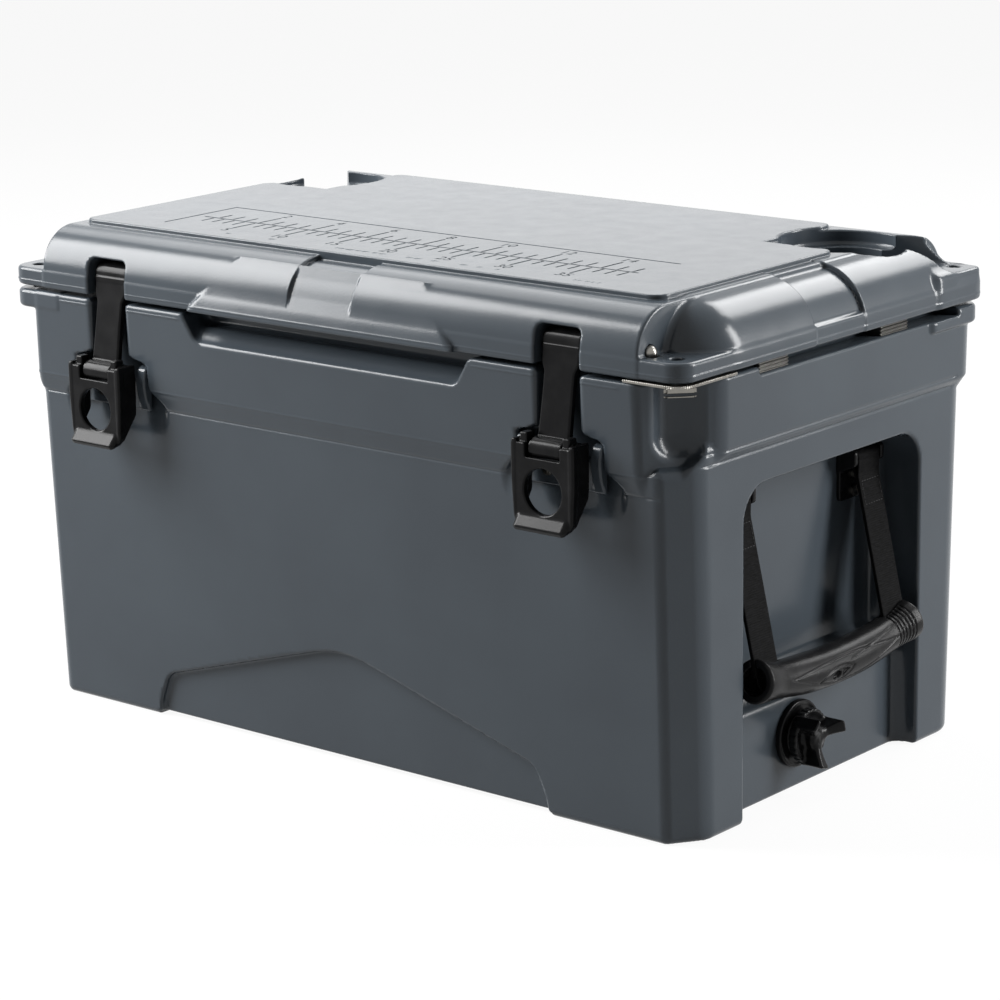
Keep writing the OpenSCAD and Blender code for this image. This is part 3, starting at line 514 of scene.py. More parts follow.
@dataclass(frozen=True)
class MouldedPlastic:
    """Satin rotomoulded plastic: soft orange peel, faint flow marks and varied gloss."""

    name: str = "shell_plastic_finish"
    colour: tuple[float, float, float] = (0.052, 0.063, 0.075)
    light: tuple[float, float, float] = (0.059, 0.072, 0.085)
    roughness: tuple[float, float] = (0.17, 0.25)
    cloud: Grain = Grain(9)
    dulling: Grain = Grain(60)
    peel: Grain = Grain(620, 2, 0.00004)
    flow: Grain = Grain(16, 1, 0.0003)
    spread: tuple[float, float] = (0.35, 0.68)

    def build(self) -> bpy.types.Material:
        """Makes the material.

        Returns:
            The finished material.
        """
        f = Finish(self.name).set(IOR=1.5, Specular_IOR_Level=0.25)
        f.on("Base Color", f.ramp(f.noise(self.cloud), *self.spread, self.colour, self.light))
        f.on("Roughness", f.scaled(f.noise(self.dulling), *self.roughness))
        f.relief(self.flow, f.relief(self.peel))
        return f.material


@dataclass(frozen=True)
class GlossBlack:
    """Glossy injection-moulded black plastic with fine texture and dust-dulled gloss."""

    name: str
    colour: tuple[float, float, float] = (0.007, 0.007, 0.0075)
    worn: tuple[float, float, float] = (0.012, 0.012, 0.0125)
    roughness: tuple[float, float] = (0.15, 0.24)
    texture: Grain = Grain(1500, 2, 0.00003)
    cloud: Grain = Grain(80, 4)
    dust: Grain = Grain(140, 4)
    spread: tuple[float, float] = (0.4, 0.7)

    def build(self) -> bpy.types.Material:
        """Makes the material.

        Returns:
            The finished material.
        """
        f = Finish(self.name).set(IOR=1.5, Specular_IOR_Level=0.09)
        f.on("Base Color", f.ramp(f.noise(self.cloud), *self.spread, self.colour, self.worn))
        f.on("Roughness", f.scaled(f.noise(self.dust), *self.roughness))
        f.relief(self.texture)
        return f.material


@dataclass(frozen=True)
class BrushedSteel:
    """Stainless steel with fine brushing along one axis."""

    name: str
    along: tuple[float, float, float] = (0.03, 1, 1)
    colour: tuple[float, float, float] = (0.24, 0.23, 0.21)
    roughness: tuple[float, float] = (0.22, 0.42)
    cloud: Grain = Grain(120)
    shade: float = 0.9
    spread: tuple[float, float] = (0.3, 0.7)

    def build(self) -> bpy.types.Material:
        """Makes the material.

        Returns:
            The finished material.
        """
        f = Finish(self.name).set(Metallic=1.0)
        hairs = Grain(2600, 3, 0.00002, 0.6, self.along)
        brushing = f.noise(hairs)
        dark = [c * self.shade for c in self.colour]
        f.on("Base Color", f.ramp(f.noise(self.cloud), *self.spread, dark, self.colour))
        f.on("Roughness", f.scaled(brushing, *self.roughness))
        f.bump(brushing, hairs.depth)
        return f.material


@dataclass(frozen=True)
class SoftRubber:
    """Matt black seal rubber with a faint bloom."""

    name: str = "seal_rubber_finish"
    colour: tuple[float, float, float] = (0.015, 0.015, 0.015)
    bloom: tuple[float, float, float] = (0.03, 0.03, 0.03)
    roughness: tuple[float, float] = (0.6, 0.8)
    cloud: Grain = Grain(150, 4)
    dust: Grain = Grain(300)
    texture: Grain = Grain(1800, 2, 0.00005)
    spread: tuple[float, float] = (0.35, 0.75)

    def build(self) -> bpy.types.Material:
        """Makes the material.

        Returns:
            The finished material.
        """
        f = Finish(self.name).set(IOR=1.45)
        f.on("Base Color", f.ramp(f.noise(self.cloud), *self.spread, self.colour, self.bloom))
        f.on("Roughness", f.scaled(f.noise(self.dust), *self.roughness))
        f.relief(self.texture)
        return f.material


@dataclass(frozen=True)
class FoamCore:
    """Pale closed-cell foam."""

    name: str = "foam_core_finish"
    colour: tuple[float, float, float] = (0.72, 0.66, 0.44)
    light: tuple[float, float, float] = (0.83, 0.78, 0.58)
    roughness: tuple[float, float] = (0.8, 0.95)
    cloud: Grain = Grain(90, 5)
    dust: Grain = Grain(200)
    cells: Grain = Grain(700, 4, 0.0004)
    spread: tuple[float, float] = (0.3, 0.7)

    def build(self) -> bpy.types.Material:
        """Makes the material.

        Returns:
            The finished material.
        """
        f = Finish(self.name)
        f.on("Base Color", f.ramp(f.noise(self.cloud), *self.spread, self.colour, self.light))
        f.on("Roughness", f.scaled(f.noise(self.dust), *self.roughness))
        f.relief(self.cells)
        return f.material


@dataclass(frozen=True)
class WovenWebbing:
    """Black nylon webbing, with yarn relief across and along the strap."""

    name: str = "webbing_finish"
    colour: tuple[float, float, float] = (0.004, 0.004, 0.004)
    light: tuple[float, float, float] = (0.010, 0.010, 0.0105)
    roughness: tuple[float, float] = (0.5, 0.75)
    yarn: Grain = Grain(900, 3, 0.0001, 0.6, (1, 0.25, 1))
    dust: Grain = Grain(500)
    spread: tuple[float, float] = (0.3, 0.7)

    def build(self) -> bpy.types.Material:
        """Makes the material.

        Returns:
            The finished material.
        """
        f = Finish(self.name).set(IOR=1.5, Specular_IOR_Level=0.02)
        yarn = f.noise(self.yarn)
        f.on("Base Color", f.ramp(yarn, *self.spread, self.colour, self.light))
        f.on("Roughness", f.scaled(f.noise(self.dust), *self.roughness))
        f.bump(yarn, self.yarn.depth)
        return f.material


class Shop:
    """The finished materials and the way that pieces are handed over."""

    def __init__(self) -> None:
        """Builds every material once."""
        self.shell = MouldedPlastic().build()
        self.black = GlossBlack("black_plastic_finish").build()
        self.grip = GlossBlack("grip_plastic_finish", (0.009, 0.009, 0.0095),
                               (0.015, 0.015, 0.0155), (0.22, 0.3), Grain(2200, 2, 0.00005)).build()
        self.steel = BrushedSteel("stainless_steel_finish").build()
        # A darker copy of the stainless finish for the wear plates: its colour is painted shade,
        # standing in for the dimmer reflections of plates set in under the lid.
        self.dark_steel = BrushedSteel("wear_plate_painted_shade_finish", (0.05, 1, 1),
                                       (0.07, 0.068, 0.063)).build()
        self.rubber = SoftRubber().build()
        self.foam = FoamCore().build()
        self.webbing = WovenWebbing().build()
        self.thread = GlossBlack("thread_finish", (0.02, 0.02, 0.021), (0.035, 0.035, 0.036),
                                 (0.45, 0.6)).build()
        self.by_slot = {
            "shell_plastic": self.shell, "black_plastic": self.black, "grip_plastic": self.grip,
            "stainless_steel": self.steel, "seal_rubber": self.rubber, "foam_core": self.foam,
            "webbing": self.webbing,
        }

    def dress_cad(self) -> None:
        """Gives every CAD node the material of its slot."""
        for name, obj in frame["nodes"].items():
            material = self.by_slot[slot_of(name)]
            if not obj.material_slots:
                obj.data.materials.append(material)
            for s in obj.material_slots:
                s.material = material

    def place(self, obj: bpy.types.Object, body: Body, slot: str, *nodes: str,
              material: bpy.types.Material | None = None) -> bpy.types.Object:
        """Dresses a piece and hands it to its CAD body.

        Args:
            obj: the piece, in place.
            body: the body that it rides on.
            slot: the record's material slot.
            nodes: the CAD nodes that it replaces.
            material: a material other than the slot's own.

        Returns:
            The piece.
        """
        obj.data.materials.clear()
        obj.data.materials.append(material or self.by_slot[slot])
        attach(obj, body.value)
        if nodes:
            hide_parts(*nodes)
        LOG.info("%s rides on %s", obj.name, body.value)
        return obj


def slot_of(node: str) -> str:
    """The material slot that the record gives a CAD node."""
    return next(row["material_slot"] for row in frame["record"]["subparts"] if node in row.values())


# ---- the body -----------------------------------------------------------------------


@dataclass
class BodyShell:
    """The moulded body: tub, proud skirt, end pockets, grooves, channels and hinge webs."""

    half_l: float = 291.0
    half_w: float = 158.5
    lean_x: float = 0.005
    lean_y: float = 0.03
    rim: float = 301.0
    proud: float = 3.5
    front_belt: tuple[float, float] = (229.0, 241.0)
    end_belt: tuple[float, float] = (247.0, 252.0)
    chamfer: tuple[float, float, float] = (0.813, 0.583, 312.7)
    left_corner: float = 323.5
    tub_corner: tuple[float, float] = (315.4, 0.0216)
    rear_r: tuple[float, float] = (24.0, 21.0)
    groove: tuple[float, float, float, float] = (286.6, 153.8, 266.0, 19.0)
    cavity: tuple[float, float, float, float] = (214.0, 123.0, 8.0, 24.0)
    floor: float = 36.0
    pocket_y: tuple[float, float] = (-97.0, 105.0)
    pocket_top: float = 224.0
    pocket_r: float = 24.0
    pocket_x: tuple[float, float] = (254.0, 274.0)
    ramp: tuple[float, float] = (62.0, 87.0)
    edge_r: float = 6.0
    foot_r: float = 5.0
    shelf_r: float = 8.0
    shelf_rise: tuple[float, float] = (6.0, 15.0)
    arch: tuple[tuple[float, float], ...] = (
        (-180, -9), (180, -9), (180, 3), (168, 33), (9, 80), (-9, 80), (-168, 33), (-180, 3))
    arch_depth: float = 4.5
    arch_r: float = 5.0
    lift: tuple[float, float, float] = (180.0, 3.0, 20.0)
    line_x: tuple[float, float, float] = (276.0, 246.0, 128.0)
    tab: tuple[float, float, float] = (247.0, 107.0, 13.0)
    lid_half: tuple[float, float] = (298.5, 170.93)
    latch_x: float = 201.0
    channel_y: float = 159.1
    channel_half: float = 17.0
    channel_foot: float = 212.0
    hollow: tuple[float, float, float] = (121.0, 22.0, 19.0)
    hinge: tuple[float, float, float, float] = (160.0, 167.93, 309.0, 7.0)
    knuckle: tuple[float, float] = (10.0, 42.0)
    padlock: tuple[float, float, float] = (283.5, 155.93, 4.5)
    relief: tuple[float, float, float, float] = (278.5, -85.5, 141.0, 296.0)

    def tub(self, x: Array, y: Array, z: Array) -> Array:
        """The lower walls, whose round corners end in a soft shelf under the skirt.

        Args:
            x, y, z: positions along the axes, in millimetres.

        Returns:
            The signed distance in millimetres, negative inside.
        """
        ax, ay = np.abs(x), np.abs(y)
        end, long = ax - self.half_l - self.lean_x * z, ay - self.half_w - self.lean_y * z
        a, b = self.chamfer[:2]
        start, rate = self.tub_corner
        flat = keep(keep(end, long, self.edge_r), a * ax + b * ay - start - rate * z, 4)
        walls = np.where(y > 0, keep(end, long, self.rear_r[0]), flat)
        turn = (ax - self.half_l) - (ay - self.half_w)
        over, rise = self.shelf_rise
        shelf = self.front_belt[1] + over + rise * blend_step(turn, -2, 20)
        return keep(keep(walls, -z, self.foot_r), (z - shelf) * 0.9, self.shelf_r)

    def skirt(self, x: Array, y: Array, z: Array) -> Array:
        """The proud upper band with its bevelled lower edge and chamfered corners.

        Args:
            x, y, z: positions along the axes, in millimetres.

        Returns:
            The signed distance in millimetres, negative inside.
        """
        ax, ay = np.abs(x), np.abs(y)
        face_y = ay - (self.half_w + self.proud + self.lean_y * z)
        low, high = self.front_belt
        y0, y1 = self.half_w + self.lean_y * low, self.half_w + self.proud + self.lean_y * high
        bevel_y = -edge2(ay, z, (y0, low), (y1, high))
        face_x = ax - (self.half_l + self.proud + self.lean_x * z)
        low, high = self.end_belt
        x0, x1 = self.half_l + self.lean_x * low, self.half_l + self.proud + self.lean_x * high
        bevel_x = -edge2(ax, z, (x0, low), (x1, high))
        a, b, c = self.chamfer
        face_y, face_x = keep(face_y, -bevel_y, 1.0), keep(face_x, -bevel_x, 1.0)
        corner = a * ax + b * ay - np.where(x > 0, c, self.left_corner)
        flat = keep(keep(face_y, face_x, self.edge_r), corner, 3.5)
        sides = np.where(y > 0, keep(face_y, face_x, self.rear_r[1]), flat)
        return keep(sides, z - self.rim, 2.5)

    def trim(self, x: Array, y: Array, z: Array) -> Array:
        """Fine lines sunk in or raised from the walls: belt edges and a bead under the rim.

        Args:
            x, y, z: positions along the axes, in millimetres.

        Returns:
            How deep each line is sunk, in millimetres, negative where it stands proud.
        """
        x_end, x_latch, x_grip = self.line_x
        ax, ay = np.abs(x), np.abs(y)
        end = blend_step(ax, self.half_l - 3, self.half_l) * blend_step(-ay, -146, -138)
        long = blend_step(ay, self.half_w + 4, self.half_w + 6) \
            * blend_step(-ax, -x_end - 8, -x_end)
        low, high = self.end_belt
        sunk = end * (ridge(z, low - 0.4, 0.9, 0.8) + ridge(z, high + 1.6, 0.9, 0.7))
        low, high = self.front_belt
        sunk = sunk + long * (ridge(z, low - 0.6, 1.0, 0.9) + ridge(z, high + 0.8, 0.9, -0.5))
        bead = blend_step(-y, self.half_w + 6, self.half_w + 8)
        bead = bead * blend_step(ax, x_grip, x_grip + 6) * blend_step(-ax, -x_latch - 6, -x_latch)
        return sunk - bead * ridge(z, self.rim - 4.5, 0.7, 0.4)

    def tabs(self, x: Array, y: Array, z: Array) -> Array:
        """Padlock tabs at every corner but the right front one.

        Args:
            x, y, z: positions along the axes, in millimetres.

        Returns:
            The signed distance in millimetres, negative inside.
        """
        x0, y0, t = self.tab
        hx, hy = self.lid_half
        ax, ay = np.abs(x), np.abs(y)
        flat = keep(box2(x, y, hx, hy, 14), span(z, self.rim - t, self.rim), 3)
        other_corners = np.minimum(x, -y) - 60
        return keep(keep(flat, keep(x0 - ax, y0 - ay, 6), 6), other_corners)

    def knuckles(self, x: Array, y: Array, z: Array) -> Array:
        """Hinge webs along the back rim.

        Args:
            x, y, z: positions along the axes, in millimetres.

        Returns:
            The signed distance in millimetres, negative inside.
        """
        cx, cy, cz, r = self.hinge
        half, gap = self.knuckle
        u = np.abs(np.abs(x) - cx)
        u = np.minimum(u, np.abs(u - gap))
        eye = np.hypot(y - cy, z - cz) - r
        foot = edge2(y, z, (cy - r, self.rim - 22), (cy + r, self.rim - 4))
        web = keep(keep(span(y, cy - r, cy + r), z - cz), foot)
        return keep(np.minimum(eye, web), u - half, 1.2)

    def pocket(self, x: Array, y: Array, z: Array) -> Array:
        """A handle pocket, deep behind the handle and shallow round the drain.

        Args:
            x, y, z: positions along the axes, in millimetres.

        Returns:
            The signed distance in millimetres, negative inside.
        """
        low, high = self.pocket_y
        deep, shallow = self.pocket_x
        below = 100
        opening = box2(y - (low + high) / 2, z - self.pocket_top / 2 + below, (high - low) / 2,
                       self.pocket_top / 2 + below, self.pocket_r)
        inner = shallow + (deep - shallow) * blend_step(z, *self.ramp)
        return keep(opening, (inner - np.abs(x)) * 0.86, 9)

    def latch_channel(self, x: Array, y: Array, z: Array) -> Array:
        """The upright latch channel that widens into a scoop behind the lever.

        Args:
            x, y, z: positions along the axes, in millimetres.

        Returns:
            The signed distance in millimetres, negative inside.
        """
        u = np.abs(np.abs(x) - self.latch_x)
        shoulder, scoop = blend_step(-z, -265, -259), blend_step(-z, -246, -228)
        wide = self.channel_half + 17 * shoulder + 14 * scoop
        side = (u - wide) * 0.8
        back = self.channel_y + 6.5 * blend_step(-z, -244, -214)
        return keep(keep(side, back - np.abs(y), 3), (self.channel_foot - z) * 0.7, 6)

    def front_hollow(self, x: Array, y: Array, z: Array) -> Array:
        """The finger hollow under the lid's grip lip.

        Args:
            x, y, z: positions along the axes, in millimetres.

        Returns:
            The signed distance in millimetres, negative inside.
        """
        half, deep, high = self.hollow
        rise, run = 21, 13
        z0 = self.rim - high
        ends = ((np.abs(x) - (half - 8)) * rise - (z - z0 + 5) * run) / math.hypot(rise, run)
        roof = -(z - (z0 + 9 * blend_step(y, -170, -157)))
        return keep(keep(ends, roof, 4), y + 171.0 - deep, 4)

    def field(self, x: Array, y: Array, z: Array) -> Array:
        """The whole body.

        Args:
            x, y, z: positions along the axes, in millimetres.

        Returns:
            The signed distance in millimetres, negative inside.
        """
        d = join(self.tub(x, y, z), self.skirt(x, y, z), 1.2)
        cx, cy, cz, r = self.groove
        column = np.sqrt((x - cx) ** 2 + (y + cy) ** 2 + np.minimum(z - cz, 0) ** 2) - r
        d = cut(d, column, 3)
        d = join(d, self.tabs(x, y, z), 1.5)
        d = join(d, self.knuckles(x, y, z), 2)
        hx, hy, taper, r = self.cavity
        shrink = taper * (1 - (z - self.floor) / (self.rim - self.floor))
        inner = box2(x, y, hx - shrink, hy - shrink, r)
        d = cut(d, keep(inner, self.floor - z, 16), 4)
        d = d + self.trim(x, y, z)
        d = cut(d, self.pocket(x, y, z), 2.2)
        panel = convex2(x, z, self.arch, self.arch_r)
        depth = self.half_w + self.lean_y * z - self.arch_depth - np.abs(y)
        d = cut(d, keep(panel, depth, 2), 2)
        half, height, deep = self.lift
        lift = keep(span(x, -half, half), z - height, 1.5)
        d = cut(d, keep(lift, self.half_w - deep - np.abs(y), 1.5), 1.5)
        d = cut(d, self.latch_channel(x, -np.minimum(y, 0), z) + np.maximum(y, 0), 3)
        d = cut(d, self.front_hollow(x, y, z), 2.5)
        x0, y0, y1, z0 = self.relief
        d = cut(d, keep(keep(x0 - np.abs(x), span(y, y0, y1), 3), z0 - z, 2), 2)
        px, py, pr = self.padlock
        bore = np.hypot(np.abs(x) - px, np.abs(y) - py) - pr
        return cut(d, keep(bore, self.rim - 20 - z), 1)

    def build(self, shop: Shop) -> None:
        """Meshes the body and hands it over.

        Args:
            shop: the materials and the way that pieces are handed over.
        """
        xs = mirrored(0, 3.5, 104, 2.2, 134, 3.5, 150, 2.2, 244, 1.7, 301)
        ys = graded(-174, 1.5, -140, 3.5, -106, 1.8, -80, 5, 72, 1.8, 110, 3.5, 140, 1.8, 177)
        zs = graded(-0.15, 1.8, 12, 4, 28, 3, 84, 3, 108, 6, 196, 2, 226, 0.8, 257, 3, 278,
                    1.6, 290, 0.9, 304, 2, 318)
        moulding = smooth_object("body_moulding", (self.field, xs, ys, zs))
        shop.place(moulding, Body.COOLER, "shell_plastic", "body_shell", "rim_tabs")


# ---- the lid ------------------------------------------------------------------------


@dataclass
class LidShell:
    """The moulded lid: rolled shoulders, set-back corners, panel, grip lip and cup holders."""

    half: tuple[float, float] = (298.5, 170.93)
    low: float = 304.0
    deck: float = 346.5
    top: float = 349.8
    roll: float = 30.0
    end_roll: float = 38.0
    reach_back: float = 11.0
    notch_x: float = 264.5
    set_back: float = 26.0
    tab_t: float = 13.0
    panel: tuple[float, float, float] = (256.5, 136.93, 55.0)
    panel_half_back: float = 199.0
    valley_half: float = 28.0
    valley_d: float = 3.0
    lip: tuple[float, float, float, float] = (121.0, 17.0, 6.0, 19.0)
    cup: tuple[float, float, float, float] = (234.0, 95.93, 43.0, 35.0)
    cup_z: tuple[float, float] = (337.0, 326.0)
    slot_half: float = 17.0
    latch_x: float = 201.0
    slot: tuple[float, float, float] = (18.0, 147.93, 330.0)
    hinge: tuple[float, float, float, float] = (160.0, 167.93, 309.0, 7.0)
    plug: tuple[float, float, float, float] = (210.0, 119.0, 20.0, 291.0)
    rod: tuple[float, float] = (157.93, 319.0)
    padlock: tuple[float, float, float] = (283.5, 155.93, 4.5)

    def shoulders(self, x: Array, y: Array, z: Array) -> Array:
        """The long rolled bar, the set-back rolled block and the padlock tabs.

        Args:
            x, y, z: positions along the axes, in millimetres.

        Returns:
            The signed distance in millimetres, negative inside.
        """
        hx, hy = self.half
        ax, ay = np.abs(x), np.abs(y)
        r = self.roll
        bar = box2(ay, z - self.deck / 2, hy, self.deck / 2, r)
        valley = keep(ax - self.valley_half, -(bar + self.valley_d), 0)
        bar = cut(bar, valley, 0.8)
        bar = keep(bar, ax - self.notch_x, 1.5)
        r = self.end_roll
        plan = box2(x, y - self.reach_back, hx, hy - self.set_back + self.reach_back, r)
        ends = np.hypot(np.maximum(plan + r, 0), np.maximum(z - self.deck + r, 0)) \
            + np.minimum(np.maximum(plan + r, z - self.deck + r), 0) - r
        valley = keep(ay - self.valley_half, -(ends + self.valley_d), 0)
        body = join(bar, cut(ends, valley, 0.8), 3)
        tab = keep(box2(x, y, hx, hy, 14), z - self.low - self.tab_t, 2.5)
        blocks = keep(box2(x, y, hx, hy, 8), z - self.cup_z[1], 3)
        blocks = keep(blocks, np.maximum(hy - self.set_back - 30 - y, self.notch_x - 2 - ax), 3)
        d = join(join(body, tab, 2), blocks, 6)
        return keep(d, self.low - z, 2.5)

    def raised(self, x: Array, y: Array, z: Array) -> Array:
        """The raised top panel, narrower between the cup holders, with a stepped edge.

        Args:
            x, y, z: positions along the axes, in millimetres.

        Returns:
            The signed distance in millimetres, negative inside.
        """
        hx, hy, yb = self.panel
        front = box2(x, y - (yb - hy) / 2, hx, (yb + hy) / 2, 10)
        back = box2(x, y, self.panel_half_back, hy, 9)
        plan = np.minimum(front, back)
        return keep(keep(plan, z - self.top, 1.0), self.low + 20 - z)

    def grip_lip(self, x: Array, y: Array, z: Array) -> Array:
        """The wedge that the fingers lift by.

        Args:
            x, y, z: positions along the axes, in millimetres.

        Returns:
            The signed distance in millimetres, negative inside.
        """
        half, slope, proud, high = self.lip
        hy = self.half[1]
        face = self.low + high - 4
        ends = ((np.abs(x) - half) * high + (z - self.low) * slope) / math.hypot(high, slope)
        top = edge2(y, z, (-hy + 5, face + 9), (-hy - proud, self.low + 4))
        wedge = keep(keep(-(y + hy + proud), top, 4), self.low - z, 2)
        return keep(keep(wedge, ends, 4), y + hy - 14, 0)

    def cups(self, x: Array, y: Array, z: Array) -> Array:
        """Both cup holders, with the drain slot out of each rear corner.

        Args:
            x, y, z: positions along the axes, in millimetres.

        Returns:
            The signed distance in millimetres, negative inside.
        """
        cx, cy, r, floor_r = self.cup
        u, v = np.abs(x) - cx, y - cy
        rho = np.hypot(u, v)
        ledge, floor = self.cup_z
        ring = keep(rho - r, ledge - z, 3)
        well = keep(rho - floor_r, floor - z, 6)
        s, t = (u + v) / math.sqrt(2), (u - v) / math.sqrt(2)
        out = keep(keep(np.abs(t) - self.slot_half, floor - z, 3), -s, 0)
        return np.minimum(np.minimum(ring, well), out)

    def field(self, x: Array, y: Array, z: Array) -> Array:
        """The whole lid.

        Args:
            x, y, z: positions along the axes, in millimetres.

        Returns:
            The signed distance in millimetres, negative inside.
        """
        half_high, arm_gap, arm_half = 50, 21, 10
        ax = np.abs(x)
        d = join(self.shoulders(x, y, z), self.raised(x, y, z), 0.8)
        d = join(d, self.grip_lip(x, y, z), 1.5) - ridge(z, self.low + 4, 0.7, 0.35)
        d = cut(d, self.cups(x, y, z), 1.5)
        half, deep, top = self.slot
        recess = keep(box2(ax - self.latch_x, z - top + half_high, half, half_high, 5), y + deep, 3)
        d = cut(d, recess, 1.8)
        under = keep(keep(ax - self.lip[0] + 12, y + self.half[1] - 15, 3), z - self.low - 6, 2)
        under = keep(under, -(y + self.half[1] + self.lip[2] - 4), 2)
        d = cut(d, under, 1.5)
        cx, cy, cz, r = self.hinge
        room = keep(keep(np.abs(ax - cx) - 56, cy - r - 4 - y, 3), z - cz - r - 3, 3)
        d = cut(d, room, 2)
        u = np.abs(np.abs(ax - cx) - arm_gap)
        root = keep(span(y, cy - r - 8, cy), span(z, self.low, cz + r), 1)
        arm = np.minimum(np.hypot(y - cy, z - cz) - r, root)
        d = join(d, keep(arm, u - arm_half, 1.2), 0.5)
        hx, hy, r, z0 = self.plug
        d = join(d, keep(keep(box2(x, y, hx, hy, r), z0 - z, 4), z - self.low - 4, 0), 3)
        px, py, pr = self.padlock
        d = cut(d, np.hypot(ax - px, np.abs(y) - py) - pr, 1)
        ry, rz = self.rod
        hole = keep(np.hypot(y + ry, z - rz) - 4.9, self.notch_x - 3 - ax, 0)
        return cut(d, keep(hole, ax - self.notch_x - 6, 0), 0.6)

    def build(self, shop: Shop) -> None:
        """Meshes the lid and hands it over.

        Args:
            shop: the materials and the way that pieces are handed over.
        """
        xs = mirrored(0, 3, 24, 1.2, 32, 3.5, 100, 1.8, 126, 3.5, 176, 1.6, 301)
        ys = graded(-179, 1.2, -134, 3.2, -108, 4, -36, 1.6, -24, 3, 24, 1.6, 54, 2, 146,
                    1.6, 177)
        zs = graded(289, 1.5, 302, 1.0, 314, 1.2, 344, 0.7, 352)
        sheet = Ruler().engrave(skin(Side.RIGHT, (self.field, xs, ys, zs)), self.top)
        shop.place(sheet.object("lid_moulding"), Body.LID, "shell_plastic", "lid_shell")


# ---- the ruler ----------------------------------------------------------------------


